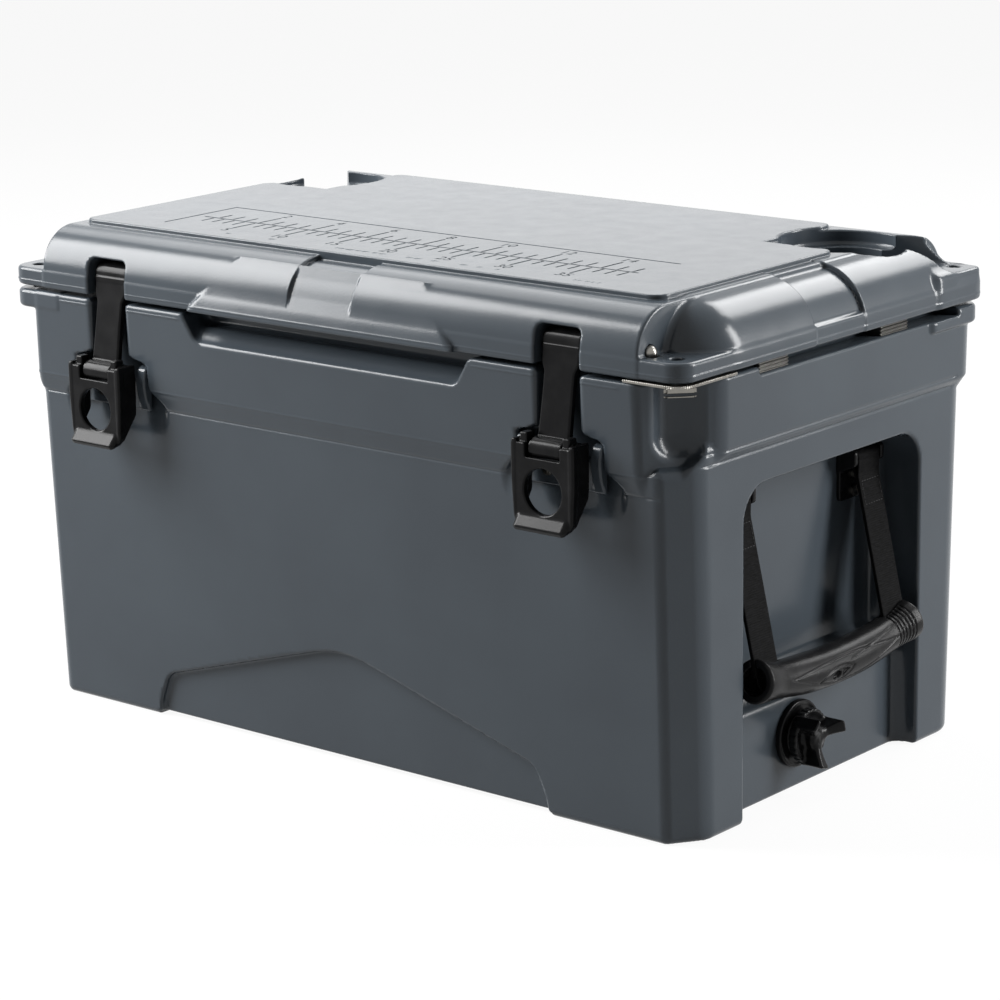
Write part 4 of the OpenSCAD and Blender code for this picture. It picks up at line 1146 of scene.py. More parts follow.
@dataclass
class Ruler:
    """The ruler engraved in the lid: a frame line, a centre line, ticks and plain numbers."""

    left: float = -196.0
    right: float = 202.0
    back: float = -43.0
    front: float = -115.0
    middle: float = -83.0
    line_w: float = 1.8
    tick: float = 11.0
    long_tick: float = 21.0
    inch: float = 12.7
    depth: float = 1.7
    digit: float = 9.5
    margin: float = 5.0
    front_margin: float = 8.0
    indent: float = 8.0
    clear: float = 0.6
    letter_gap: float = 2.4
    end_turns: int = 5

    def bar(self, x0: float, y0: float, x1: float, y1: float) -> Array:
        """An upright or level stroke with round ends, its outline anticlockwise.

        Args:
            x0, y0: the start of its middle line.
            x1, y1: the end of that line.

        Returns:
            The points of the outline.
        """
        r = self.line_w / 2
        turn = np.linspace(-math.pi / 2, math.pi / 2, self.end_turns)
        along = math.atan2(y1 - y0, x1 - x0)
        far, near = turn + along, turn + along + math.pi
        return np.concatenate([np.stack([np.cos(far), np.sin(far)], 1) * r + (x1, y1),
                               np.stack([np.cos(near), np.sin(near)], 1) * r + (x0, y0)])

    def frame_line(self) -> Array:
        """The bent line along the left and back of the ruler.

        Returns:
            The points of its outline, anticlockwise.
        """
        r = self.line_w / 2
        turn = np.linspace(-math.pi / 2, math.pi / 2, self.end_turns)
        nose = np.stack([np.cos(turn), np.sin(turn)], 1) * r + (self.right, self.back)
        down = turn - math.pi / 2
        tail = np.stack([np.cos(down), np.sin(down)], 1) * r + (self.left, self.front)
        corner = [(self.left - r, self.back + r)]
        inner = [(self.left + r, self.back - r)]
        return np.concatenate([nose, corner, tail, inner])

    def number(self, text: str, x: float, y: float) -> list[Array]:
        """Outlines of a plain number centred on x, y.

        Args:
            text: the number.
            x, y: where its centre goes.

        Returns:
            The outlines of its digits, with those of their holes.
        """
        data = bpy.data.curves.new("number", "FONT")
        data.body, data.size = text, self.digit * 1.35
        data.align_x, data.align_y = "CENTER", "CENTER"
        data.resolution_u = 4
        obj = bpy.data.objects.new("number", data)
        mesh = bpy.data.meshes.new_from_object(obj)
        points = np.array([v.co[:2] for v in mesh.vertices]) + (x, y)
        follow = {}
        for polygon in mesh.polygons:
            ring = list(polygon.vertices)
            for a, b in zip(ring, ring[1:] + ring[:1]):
                follow[(a, b)] = b
        edges = {a: b for (a, b) in follow if (b, a) not in follow}
        bpy.data.objects.remove(obj)
        bpy.data.curves.remove(data)
        bpy.data.meshes.remove(mesh)
        return [points[ring] for ring in rings(edges)]

    def strokes(self) -> list[Array]:
        """Outlines of everything engraved.

        Returns:
            The outlines, that of the frame line first.
        """
        out = [self.frame_line()]
        start = self.left + self.indent
        out.append(self.bar(start, self.middle, self.right - 4, self.middle))
        gap = self.line_w + self.clear
        for step, per, side in ((self.inch, 4, 1), (10.0, 5, -1)):
            count = int((self.right - 6 - start) / step)
            for i in range(1, count + 1):
                x = start + i * step
                y0 = self.middle + side * gap
                reach = self.long_tick if i % per == 0 else self.tick
                a, b = sorted((y0, y0 + side * reach))
                out.append(self.bar(x, a, x, b))
                if i % per == 0 and x < self.right - 10:
                    label = str(i // 2) if side > 0 else str(i)
                    out += self.number(label, x,
                                       y0 + side * (reach + self.digit / 2 + self.letter_gap))
        return out

    def engrave(self, sheet: Sheet, top: float) -> Sheet:
        """Cuts the ruler into the flat top of a skin.

        Args:
            sheet: the lid's skin.
            top: the height of its flat top.

        Returns:
            The skin with sharp-edged grooves in place of that part of the top.
        """
        quads, normals, points = sheet.faces[0], sheet.normals[0], sheet.points
        m, level = self.margin, 0.3
        flat = (points[:, 0] > self.left - m) & (points[:, 0] < self.right + m) \
            & (points[:, 1] > self.front - self.front_margin) & (points[:, 1] < self.back + m) \
            & (np.abs(points[:, 2] - top) < level)
        gone = flat[quads].all(1)
        pairs = {(a, b) for q in quads[gone].tolist() for a, b in zip(q, q[1:] + q[:1])}
        border = rings({a: b for a, b in pairs if (b, a) not in pairs})[0]
        strokes = self.strokes()
        rim = [Vector((*points[i, :2], 0)) for i in border]
        loops = [[Vector((*p, 0)) for p in loop] for loop in strokes]
        upper = np.array(tessellate_polygon([rim] + loops))
        lower = np.array(tessellate_polygon(loops))
        n = len(points)
        flatxy = np.concatenate(strokes)
        high = np.column_stack([flatxy, np.full(len(flatxy), top)])
        deep = high - (0, 0, self.depth)
        index = np.concatenate([np.array(border), n + np.arange(len(flatxy))])
        upper, lower = index[upper], n + len(flatxy) + lower
        everything = np.concatenate([points, high, deep])
        walls, start = [], n
        for loop in strokes:
            a = start + np.arange(len(loop))
            b = np.roll(a, -1)
            walls.append(np.stack([a, b, b + len(flatxy), a + len(flatxy)], 1))
            start += len(loop)
        walls = np.concatenate(walls)
        caps = [upright(everything, tris) for tris in (upper, lower)]
        ends = everything[walls[:, 1]] - everything[walls[:, 0]]
        facing = np.stack([-ends[:, 1], ends[:, 0], np.zeros(len(ends))], 1)
        facing /= np.maximum(np.linalg.norm(facing, axis=1), TINY)[:, None]
        LOG.info("ruler: %d strokes", len(strokes))
        return Sheet(everything, [quads[~gone], *caps, walls],
                     [normals[~gone], *(np.tile((0.0, 0.0, 1.0), (t.size, 1)) for t in caps),
                      np.repeat(facing, 4, 0)])


def rings(follow: dict[int, int]) -> list[list[int]]:
    """Splits directed edges, given as start to end, into closed rings, the longest first.

    Args:
        follow: for each point, the next one.

    Returns:
        The points of each ring, in order.
    """
    out, left = [], dict(follow)
    while left:
        first, at = left.popitem()
        ring = [first]
        while at != first:
            ring.append(at)
            at = left.pop(at)
        out.append(ring)
    return sorted(out, key=len, reverse=True)


def upright(points: Array, triangles: Array) -> Array:
    """Turns flat triangles so that they face up.

    Args:
        points: all the points, one to a row.
        triangles: three point numbers to a row.

    Returns:
        The triangles, with those that faced down turned over.
    """
    p = points[triangles]
    u, v = p[:, 1] - p[:, 0], p[:, 2] - p[:, 0]
    down = u[:, 0] * v[:, 1] - u[:, 1] * v[:, 0] < 0
    triangles = triangles.copy()
    triangles[down] = triangles[down][:, ::-1]
    return triangles


# ---- the latches --------------------------------------------------------------------


@dataclass
class Latch:
    """A latch, laid out on the right: strap on the lid's rod, lever on its pin, and guards."""

    side: Side
    centre: float = 201.005
    rod: tuple[float, float] = (-157.93, 319.0)
    pin: tuple[float, float] = (-177.93, 253.0)
    rod_bore: float = 2.56
    head_r: float = 8.0
    barrel_r: float = 7.0
    head_half: float = 15.5
    strap_half: float = 13.0
    strap_t: float = 5.0
    slip: float = 1.0
    waist: tuple[float, float, float] = (12.2, 0.8, 2.6)
    barrel_sink: float = 0.4
    lever_half: float = 25.0
    lever_l: float = 50.0
    lever_y: tuple[float, float] = (-9.0, -4.0)
    lever_taper: float = 1.4
    ear_t: float = 6.0
    hole: tuple[float, float] = (227.0, 15.0)
    guard_y: tuple[float, float] = (-167.37, -164.37)
    guard_foot: float = 225.0
    guard_half: float = 34.0
    screw: tuple[float, float, float] = (10.0, 16.0, 2.0)
    step: float = 0.75

    def strap(self, x: Array, y: Array, z: Array) -> Array:
        """Barrel on the rod, waisted plate and barrel on the lever's pin.

        Args:
            x, y, z: positions along the axes, in millimetres.

        Returns:
            The signed distance in millimetres, negative inside.
        """
        w = x - self.centre
        u = np.abs(w)
        (ry, rz), (py, pz) = self.rod, self.pin
        top = ry - self.head_r + self.strap_t / 2 + self.barrel_sink
        foot = py + self.barrel_r - self.strap_t / 2 - self.barrel_sink
        length = math.hypot(top - foot, rz - pz)
        ty, tz = (top - foot) / length, (rz - pz) / length
        along = (y - foot) * ty + (z - pz) * tz
        off = (y - foot) * tz - (z - pz) * ty
        waist, spread, shoulder = self.waist
        half = waist + spread * ((along - 0.5 * length) / (0.5 * length)) ** 2 \
            + shoulder * blend_step(along, length - 20, length - 12)
        plate = keep(span(off, -self.strap_t / 2, self.strap_t / 2), u - half, 1.6)
        plate = keep(plate, span(along, 0, length - 3))
        head = rod(y - ry, z - rz, w, self.head_r, -self.head_half, self.head_half, 1.6)
        barrel = rod(y - py, z - pz, w, self.barrel_r, -self.strap_half, self.strap_half, 1.0)
        d = join(join(plate, head, 2.5), barrel, 1.5)
        d = cut(d, np.hypot(y - ry, z - rz) - self.rod_bore, 0.5)
        return cut(d, np.hypot(y - py, z - pz) - self.rod_bore, 0.5)

    def lever(self, x: Array, y: Array, z: Array) -> Array:
        """Front plate with a finger hole, cheeks, ears, pin barrels and thumb lip.

        Args:
            x, y, z: positions along the axes, in millimetres.

        Returns:
            The signed distance in millimetres, negative inside.
        """
        w = x - self.centre
        u = np.abs(w)
        py, pz = self.pin
        face, back, low = py + self.lever_y[0], py + self.lever_y[1], pz - self.lever_l
        gap = self.strap_half + self.slip
        side = u - self.lever_half + self.lever_taper * blend_step(-z, -(pz - 14), -(low + 4))
        plate = keep(span(y, face, back), keep(keep(side, low - z, 7), z - pz - 4, 2), 1.2)
        profile = convex2(y, z, [(face, pz + 6), (face, low + 7), (back, low + 3),
                                 (py + 8, pz - 30), (py + 8, pz + 6)], 1.5)
        cheek = keep(keep(side, self.lever_half - 4 - u, 0.8), profile, 1.4)
        d = join(plate, cheek, 1.0)
        ear = block((w * 0, y, z), (-9, face + 3, pz - 4), (9, py + 2, pz + 10), 1.2)
        d = join(d, keep(span(u, gap, gap + self.ear_t), ear, 1.2), 0.8)
        rho = np.hypot(y - py, z - pz)
        barrel = keep(rho - self.barrel_r, span(u, gap, self.lever_half - 2.5), 1.0)
        seat = keep(span(y, back - 1, py), span(z, pz - 10, pz), 0.8)
        seat = keep(span(u, gap, self.lever_half - 1), seat, 0.8)
        d = join(join(d, barrel, 0.8), seat, 0.8)
        lip = convex2(y, z, [(face + 2, low + 11), (face - 6, low + 1), (face - 4, low - 2),
                             (back, low)], 1.0)
        d = join(d, keep(lip, side + 2, 4), 1.0)
        sweep = keep(rho - self.barrel_r - self.slip, u - gap)
        d = cut(d, np.minimum(keep(u - gap, pz - 5 - z, 1.0), sweep), 0.8)
        cz, r = self.hole
        d = cut(d, np.hypot(w, z - cz) - r, 1.3)
        return cut(d, keep(rho - self.rod_bore, u - self.lever_half + 1), 0.3)

    def guard(self, x: Array, y: Array, z: Array) -> Array:
        """Body-coloured plate behind the lever with a stepped guard on each side.

        Args:
            x, y, z: positions along the axes, in millimetres.

        Returns:
            The signed distance in millimetres, negative inside.
        """
        u = np.abs(x - self.centre)
        py, pz = self.pin
        face, back = self.guard_y
        half = self.guard_half
        plate = keep(u - half, keep(span(y, face, back), span(z, pz - 26, pz - 4), 1), 1)
        profile = convex2(y, z, [(py + 8, pz + 3), (py + 6, pz - 6), (py + 8, pz - 20),
                                 (back, self.guard_foot), (back, pz + 6)], 1.5)
        wing = keep(keep(self.lever_half + 1 - u, u - half - 0.5, 0.6), profile, 1.6)
        out, down, r = self.screw
        hole = keep(np.hypot(u - out, z - pz + down) - r, u - half)
        return cut(join(plate, wing, 2), hole, 0.3)

    def build(self, shop: Shop) -> None:
        """Makes the strap, lever and guards of this side.

        Args:
            shop: the materials and the way that pieces are handed over.
        """
        word, c, s = self.side.word, self.centre, self.step
        strap = smooth_object(
            f"{word}_latch_strap_moulding",
            (self.strap, graded(c - 17, s, c + 17), graded(-187, s, -148),
             graded(244, 1.6 * s, 304, s, 329)), side=self.side)
        lever = smooth_object(
            f"{word}_latch_lever_moulding",
            (self.lever, graded(c - 27, s, c + 27), graded(-195, s, -167), graded(199, s, 265)),
            side=self.side)
        guard = smooth_object(
            f"{word}_latch_guards",
            (self.guard, graded(c - 36, s, c + 36), graded(-181, s, -162), graded(223, s, 261)),
            side=self.side)
        left = self.side is Side.LEFT
        shop.place(strap, Body.LEFT_STRAP if left else Body.RIGHT_STRAP, "black_plastic",
                   f"{word}_latch_strap")
        shop.place(lever, Body.LEFT_LEVER if left else Body.RIGHT_LEVER, "black_plastic",
                   f"{word}_latch_lever")
        shop.place(guard, Body.COOLER, "shell_plastic", f"{word}_latch_keeper")


# ---- the handles --------------------------------------------------------------------


@dataclass
class Handle:
    """A rope-style end handle, laid out on the right: brackets, webbing legs and bowed grip."""

    side: Side
    middle: float = 4.0
    leg: float = 74.0
    bar: tuple[float, float] = (264.3, 208.0)
    bar_r: float = 3.0
    wall_x: float = 254.0
    grip_x: float = 290.0
    grip_z: float = 84.0
    sag: float = 10.0
    half: float = 89.5
    grip_r: float = 13.6
    web_w: float = 25.0
    ply: float = 1.35
    rib: float = 1.5
    plate_t: float = 3.0
    arm_t: float = 4.0
    screws: tuple[float, float, float] = (14.0, 26.0, 2.0)
    unroll: float = 13.0
    hollow_r: float = 9.2
    hollow_l: float = 17.0
    twist: float = 0.12
    parting: float = 15.0

    @property
    def bow(self) -> float:
        """Radius of the grip's bend."""
        return (self.half ** 2 + self.sag ** 2) / (2 * self.sag)

    def bracket(self, x: Array, y: Array, z: Array) -> Array:
        """Both wall brackets with their cross bars.

        Args:
            x, y, z: positions along the axes, in millimetres.

        Returns:
            The signed distance in millimetres, negative inside.
        """
        u = np.abs(np.abs(y - self.middle) - self.leg)
        bx, bz = self.bar
        half = self.web_w / 2 + 1
        plate = keep(u - half - self.arm_t, span(z, bz - 31, bz + 10), 3)
        plate = keep(span(x, self.wall_x, self.wall_x + self.plate_t), plate, 0.8)
        arm = convex2(x, z, [(self.wall_x, bz - 12), (bx + 5, bz - 5), (bx + 5, bz + 5),
                             (self.wall_x, bz + 9)], 2)
        d = join(plate, keep(arm, span(u, half, half + self.arm_t), 1), 1.2)
        d = join(d, keep(np.hypot(x - bx, z - bz) - self.bar_r, u - half - 1), 0.6)
        *drops, r = self.screws
        for drop in drops:
            d = cut(d, np.hypot(u, z - bz + drop) - r, 0.3)
        return d

    def grip(self, x: Array, y: Array, z: Array) -> Array:
        """Bowed tube with flared hollow ends, a ribbed end, leaf grooves and an eye.

        Args:
            x, y, z: positions along the axes, in millimetres.

        Returns:
            The signed distance in millimetres, negative inside.
        """
        v = y - self.middle
        cz = self.grip_z + self.bow
        rho = np.hypot(v, z - cz) - self.bow
        s = np.arctan2(v, cz - z) * self.bow
        w = x - self.grip_x
        a = np.abs(s)
        radius = self.grip_r - 1.0 * blend_step(a, 24, 62) + 2.2 * blend_step(a, 66, 89)
        turn = np.arctan2(-rho, w)
        relief = self.grip_relief(s, turn) * blend_step(np.cos(turn), 0.0, 0.2)
        d = keep(np.hypot(w, rho) - radius + relief, a - self.half, 2.2)
        hollow = keep(np.hypot(w, rho) - self.hollow_r, self.half - self.hollow_l - a, 1)
        bx, bz = self.bar
        end_z = self.grip_z + self.sag
        lean = (self.grip_x - bx) / (bz - end_z)
        slot = keep(np.abs(np.abs(v) - self.leg) - self.web_w / 2 - 0.4,
                    np.abs(w + (z - end_z) * lean) - 2.0)
        return cut(cut(d, hollow, 1.2), keep(slot, end_z - 2 - z), 0.8)

    def grip_relief(self, s: Array, turn: Array) -> Array:
        """Leaf grooves, the eye with its pupil and dart, and the ribbed end.

        Args:
            s: positions along the grip, in millimetres from its middle.
            turn: angles round the grip, in radians.

        Returns:
            The depth of the relief.
        """
        round_ = turn * self.unroll
        leaf = np.cos(s / 46)
        relief = ridge(round_, 9.5 * leaf - 1.0, 0.75, 0.8)
        relief += ridge(round_, -12.5 * leaf + 4.5, 0.75, 0.7)
        vein = ridge(round_, 3.2 + 0.11 * (s + 8), 0.7, 0.6)
        relief += vein * blend_step(s, 2, 12) * blend_step(-s, -62, -52)
        relief *= blend_step(-np.abs(s), -66, -56)
        ribs = (0.5 - 0.5 * np.cos((s - 62) * math.tau / 3.4)) ** 4
        relief += 0.8 * ribs * blend_step(s, 61, 64) * blend_step(-s, -84, -80)
        c, k = math.cos(self.twist), math.sin(self.twist)
        u = (s + 12) * c + (round_ + 2.5) * k
        t = (round_ + 2.5) * c - (s + 12) * k
        lens = np.abs(t) - 5.0 * (1 - (u / 19.0) ** 2)
        relief += ridge(lens, 0, 0.7, 0.8) * blend_step(-np.abs(u), -22, -18)
        pupil = np.hypot(u + 1, t * 1.7) - 4.4
        dart = np.maximum(np.abs(t) * 1.4 + (u - 13.5) * 0.45, 5.6 - u)
        relief += 2.4 * blend_step(-pupil, -0.5, 0.5) + 1.6 * blend_step(-dart, -0.4, 0.4)
        return relief

    def leg_path(self) -> Array:
        """The webbing's run in the x, z plane, up from the grip, round the bar and down again.

        Returns:
            The points of its middle line, one to a row.
        """
        bx, bz = self.bar
        end = np.array((self.grip_x, self.grip_z + self.sag))
        down = end - (bx, bz)
        length = float(np.hypot(*down))
        down /= length
        across = np.array((-down[1], down[0]))
        r = self.bar_r + 0.35 + self.ply / 2
        turn = np.radians(np.linspace(-38, 218, 40))
        offset, parting = self.ply * 0.52, self.parting
        rows = [(offset, t) for t in np.linspace(length - 1.0, parting, 60)]
        spread, drop = r * math.cos(turn[0]) - offset, parting + r * math.sin(turn[0])
        rows += [(offset + spread * k * k * (3 - 2 * k), parting - k * drop)
                 for k in np.linspace(0.1, 0.9, 8)]
        half = rows + [(r * math.cos(t), -r * math.sin(t)) for t in turn]
        half += [(-a, b) for a, b in rows[::-1]]
        half = np.array(half)
        return np.array((bx, bz)) + half[:, :1] * across + half[:, 1:] * down

    def webbing(self) -> Sheet:
        """Both woven legs, with a raised rib for every weft.

        Returns:
            The skin of both legs.
        """
        path = self.leg_path()
        gone = np.concatenate([[0], np.cumsum(np.hypot(*np.diff(path, axis=0).T))])
        pitch = self.rib / 5
        s = np.arange(0, gone[-1], pitch)
        line = np.stack([np.interp(s, gone, path[:, k]) for k in (0, 1)], 1)
        ahead = np.gradient(line, axis=0)
        for _ in range(3):
            ahead[1:-1] = (ahead[:-2] + 2 * ahead[1:-1] + ahead[2:]) / 4
        ahead /= np.hypot(*ahead.T)[:, None]
        out = np.stack([-ahead[:, 1], ahead[:, 0]], 1)
        t = self.ply / 2
        half = self.web_w / 2
        rounded = [(half - 1.6, -t), (half - 0.5, -t), (half, -t * 0.35)]
        section = [(-a, b) for a, b in rounded[::-1]] + [(k, -t) for k in np.linspace(-9, 9, 9)]
        section += rounded
        section = np.array(section + [(a, -b) for a, b in section[::-1]])
        swell = 0.80 + 0.20 * np.sqrt(np.abs(np.sin(s * math.pi / self.rib)))
        edge = 1 - 0.006 * np.abs(np.sin(s * math.pi / self.rib + 0.8))
        points, faces, count = [], [], 0
        m, n = len(section), len(s)
        for sign in (-1, 1):
            grid = np.empty((n, m, 3))
            depth = section[None, :, 1] * swell[:, None]
            grid[:, :, 0] = line[:, None, 0] + out[:, None, 0] * depth
            grid[:, :, 2] = line[:, None, 1] + out[:, None, 1] * depth
            grid[:, :, 1] = self.middle + sign * self.leg + section[None, :, 0] * edge[:, None]
            points.append(grid.reshape(-1, 3))
            i, j = np.meshgrid(np.arange(n - 1), np.arange(m), indexing="ij")
            a, b = i * m + j, i * m + (j + 1) % m
            faces.append(np.stack([a, a + m, b + m, b], -1).reshape(-1, 4) + count)
            for row in (0, n - 1):
                ring = row * m + np.arange(m)
                strip = np.array([(ring[k], ring[k + 1], ring[m - 2 - k], ring[m - 1 - k])
                                  for k in range(m // 2 - 1)])
                faces.append((strip if row == 0 else strip[:, ::-1]) + count)
            count += n * m
        points, faces = np.concatenate(points), np.concatenate(faces)
        if self.side is Side.LEFT:
            points, faces = points * (-1, 1, 1), faces[:, ::-1]
        return Sheet(points, [faces], [corner_normals(points, faces)])

    def stitches(self) -> Sheet:
        """Rows of thread through both plies below each bar.

        Returns:
            The skin of all the stitches.
        """
        bx, bz = self.bar
        end = np.array((self.grip_x, self.grip_z + self.sag))
        down = (end - (bx, bz)) / np.hypot(*(end - (bx, bz)))
        across = np.array((-down[1], down[0]))
        spots = [(u, t, True) for t in (17.0, 33.0) for u in np.linspace(-9, 9, 7)]
        spots += [(u, t, False) for u in (-10.0, 10.0) for t in np.linspace(19, 31, 5)]
        ring = np.radians(np.arange(0, 360, 60))
        points, faces, count = [], [], 0
        for sign in (-1, 1):
            for face in (-1, 1):
                for u, t, level in spots:
                    tube = []
                    for q, size in ((-1.1, 0.15), (-0.7, 0.34), (0.7, 0.34), (1.1, 0.15)):
                        for c, h in zip(np.cos(ring) * size, np.sin(ring) * size):
                            du, dt = (q, c) if level else (c, q)
                            n = face * (self.ply + 0.12) + h * 0.7
                            at = np.array((bx, bz)) + across * n + down * (t + dt)
                            tube.append((at[0], self.middle + sign * self.leg + u + du, at[1]))
                    points.append(np.array(tube))
                    for start in range(count, count + 18, 6):
                        faces += [(start + j, start + (j + 1) % 6, start + 6 + (j + 1) % 6,
                                   start + 6 + j) for j in range(6)]
                    count += 24
        points, faces = np.concatenate(points), np.array(faces)
        if self.side is Side.LEFT:
            points, faces = points * (-1, 1, 1), faces[:, ::-1]
        return Sheet(points, [faces], [corner_normals(points, faces)])

    def build(self, shop: Shop) -> None:
        """Makes the brackets, webbing and grip of this side.

        Args:
            shop: the materials and the way that pieces are handed over.
        """
        word, m = self.side.word, self.middle
        left = self.side is Side.LEFT
        body = Body.LEFT_HANDLE if left else Body.RIGHT_HANDLE
        zs = graded(175, 0.9, 220)
        xs = graded(252, 0.8, 272)
        blocks = [(self.bracket, xs, graded(m + s * self.leg - 19, 0.9, m + s * self.leg + 19), zs)
                  for s in (-1, 1)]
        brackets = smooth_object(f"{word}_handle_brackets", *blocks, side=self.side)
        shop.place(brackets, Body.COOLER, "black_plastic", f"{word}_handle_anchors")
        grip = smooth_object(
            f"{word}_grip_moulding",
            (self.grip, graded(273, 0.8, 307), graded(m - 93, 0.8, m + 93), graded(66, 0.8, 113)),
            side=self.side)
        shop.place(grip, body, "grip_plastic", f"{word}_handle_grip")
        legs = self.webbing().object(f"{word}_woven_legs")
        shop.place(legs, body, "webbing", f"{word}_handle_webbing")
        thread = self.stitches().object(f"{word}_leg_stitching")
        shop.place(thread, body, "webbing", material=shop.thread)


def corner_normals(points: Array, faces: Array) -> Array:
    """Smooth normals for every corner of a quad mesh, from the faces round each point.

    Args:
        points: all the points, one to a row.
        faces: four point numbers to a row.

    Returns:
        The normals, in the order of the corners.
    """
    p = points[faces]
    n = np.cross(p[:, 2] - p[:, 0], p[:, 3] - p[:, 1])
    total = np.zeros_like(points)
    for k in range(4):
        np.add.at(total, faces[:, k], n)
    total /= np.maximum(np.linalg.norm(total, axis=1), TINY)[:, None]
    return total[faces]


# ---- steel and drain ----------------------------------------------------------------


@dataclass
class Plates:
    """The ribbed corner plate with its opener loop, and the ribbed wear plates in the rim."""

    corner: tuple[float, float] = (298.505, -170.93)
    rim: float = 301.0
    lid: float = 304.0
    thick: float = 2.0
    long: float = 46.0
    wide: float = 58.0
    leg: float = 12.0
    hole_r: float = 4.5
    screw_r: float = 2.0
    rib: tuple[float, float] = (1.7, 0.32)
    loop_s: float = 9.5
    wear_y: tuple[float, float] = (-67.0, 70.0)
    wear_half: float = 16.0
    wear_in: tuple[float, float] = (17.0, 5.0)
    wear_rib: tuple[float, float] = (2.2, 0.9)
    relief: float = 5.0

    def corner_plate(self, x: Array, y: Array, z: Array) -> Array:
        """The L-shaped plate, its outer edge ribbed, and the loop under its corner.

        Args:
            x, y, z: positions along the axes, in millimetres.

        Returns:
            The signed distance in millimetres, negative inside.
        """
        cx, cy = self.corner
        leg, (pitch, depth) = self.leg, self.rib
        u, v = x - cx, y - cy
        front = box2(u + (self.long + leg) / 2, v - leg + 1, (self.long - leg) / 2, leg - 1)
        end = box2(u + leg, v - (self.wide + leg) / 2, leg, (self.wide - leg) / 2)
        plan = np.minimum(np.minimum(front, end), np.hypot(u + leg, v - leg) - leg)
        ribs = depth * (0.5 + 0.5 * np.cos((x + y) * math.tau / pitch))
        plan = plan + ribs * blend_step(plan, -2, -0.8)
        d = keep(plan, span(z, self.rim, self.rim + self.thick), 0.3)
        d = cut(d, np.hypot(u + 15, v - 15) - self.hole_r, 0.3)
        for px, py in ((cx - self.long + 5, cy + 7.5), (cx - 14, cy + self.wide - 8)):
            d = cut(d, np.hypot(x - px, y - py) - self.screw_r)
        s = ((u + leg) - (v - leg)) / math.sqrt(2)
        t = ((u + leg) + (v - leg)) / math.sqrt(2)
        h = z - self.rim
        loop = span(s, self.loop_s, self.loop_s + self.thick)
        loop = keep(loop, box2(t, h + 2.2, 14, 2.8, 2.7), 0.5)
        loop = cut(loop, box2(t, h + 3.1, 10.5, 1.0, 0.9), 0.3)
        return join(d, loop, 0.8)

    def wear(self, x: Array, y: Array, z: Array) -> Array:
        """Wear plates with lengthwise ribs on their outer faces.

        Args:
            x, y, z: positions along the axes, in millimetres.

        Returns:
            The signed distance in millimetres, negative inside.
        """
        x0, x1 = (self.corner[0] - deep for deep in self.wear_in)
        pitch, depth = self.wear_rib
        ribs = depth * (0.5 + 0.5 * np.cos((z - self.lid) * math.tau / pitch))
        slab = span(x, x0, x1) + ribs * blend_step(x, x1 - 4, x1 - 1)
        near = np.minimum(np.abs(y - self.wear_y[0]), np.abs(y - self.wear_y[1])) - self.wear_half
        height = span(z, self.rim - self.relief, self.lid - 1)
        return keep(keep(slab, near, 0.8), height, 0.5)

    def build(self, shop: Shop) -> None:
        """Makes the corner plate and the wear plates.

        Args:
            shop: the materials and the way that pieces are handed over.
        """
        cx, cy = self.corner
        plate = smooth_object("ribbed_corner_plate", (
            self.corner_plate, graded(cx - 48, 0.42, cx + 2), graded(cy - 2, 0.42, cy + 60),
            graded(291.5, 0.5, 304)))
        shop.place(plate, Body.COOLER, "stainless_steel", "corner_plate")
        blocks = [(self.wear, graded(cx - 19, 1.5, cx - 9, 0.45, cx - 4),
                   graded(y - 17, 1, y + 17), graded(295, 0.3, 304)) for y in self.wear_y]
        both = [skin(side, *blocks) for side in Side]
        count = len(both[0].points)
        sheet = Sheet(np.concatenate([b.points for b in both]),
                      [both[0].faces[0], both[1].faces[0] + count], [b.normals[0] for b in both])
        # The wear plates take the darker copy of the steel, whose colour is painted shade.
        shop.place(sheet.object("ribbed_wear_plates"), Body.COOLER, "stainless_steel",
                   "rim_wear_plates", material=shop.dark_steel)


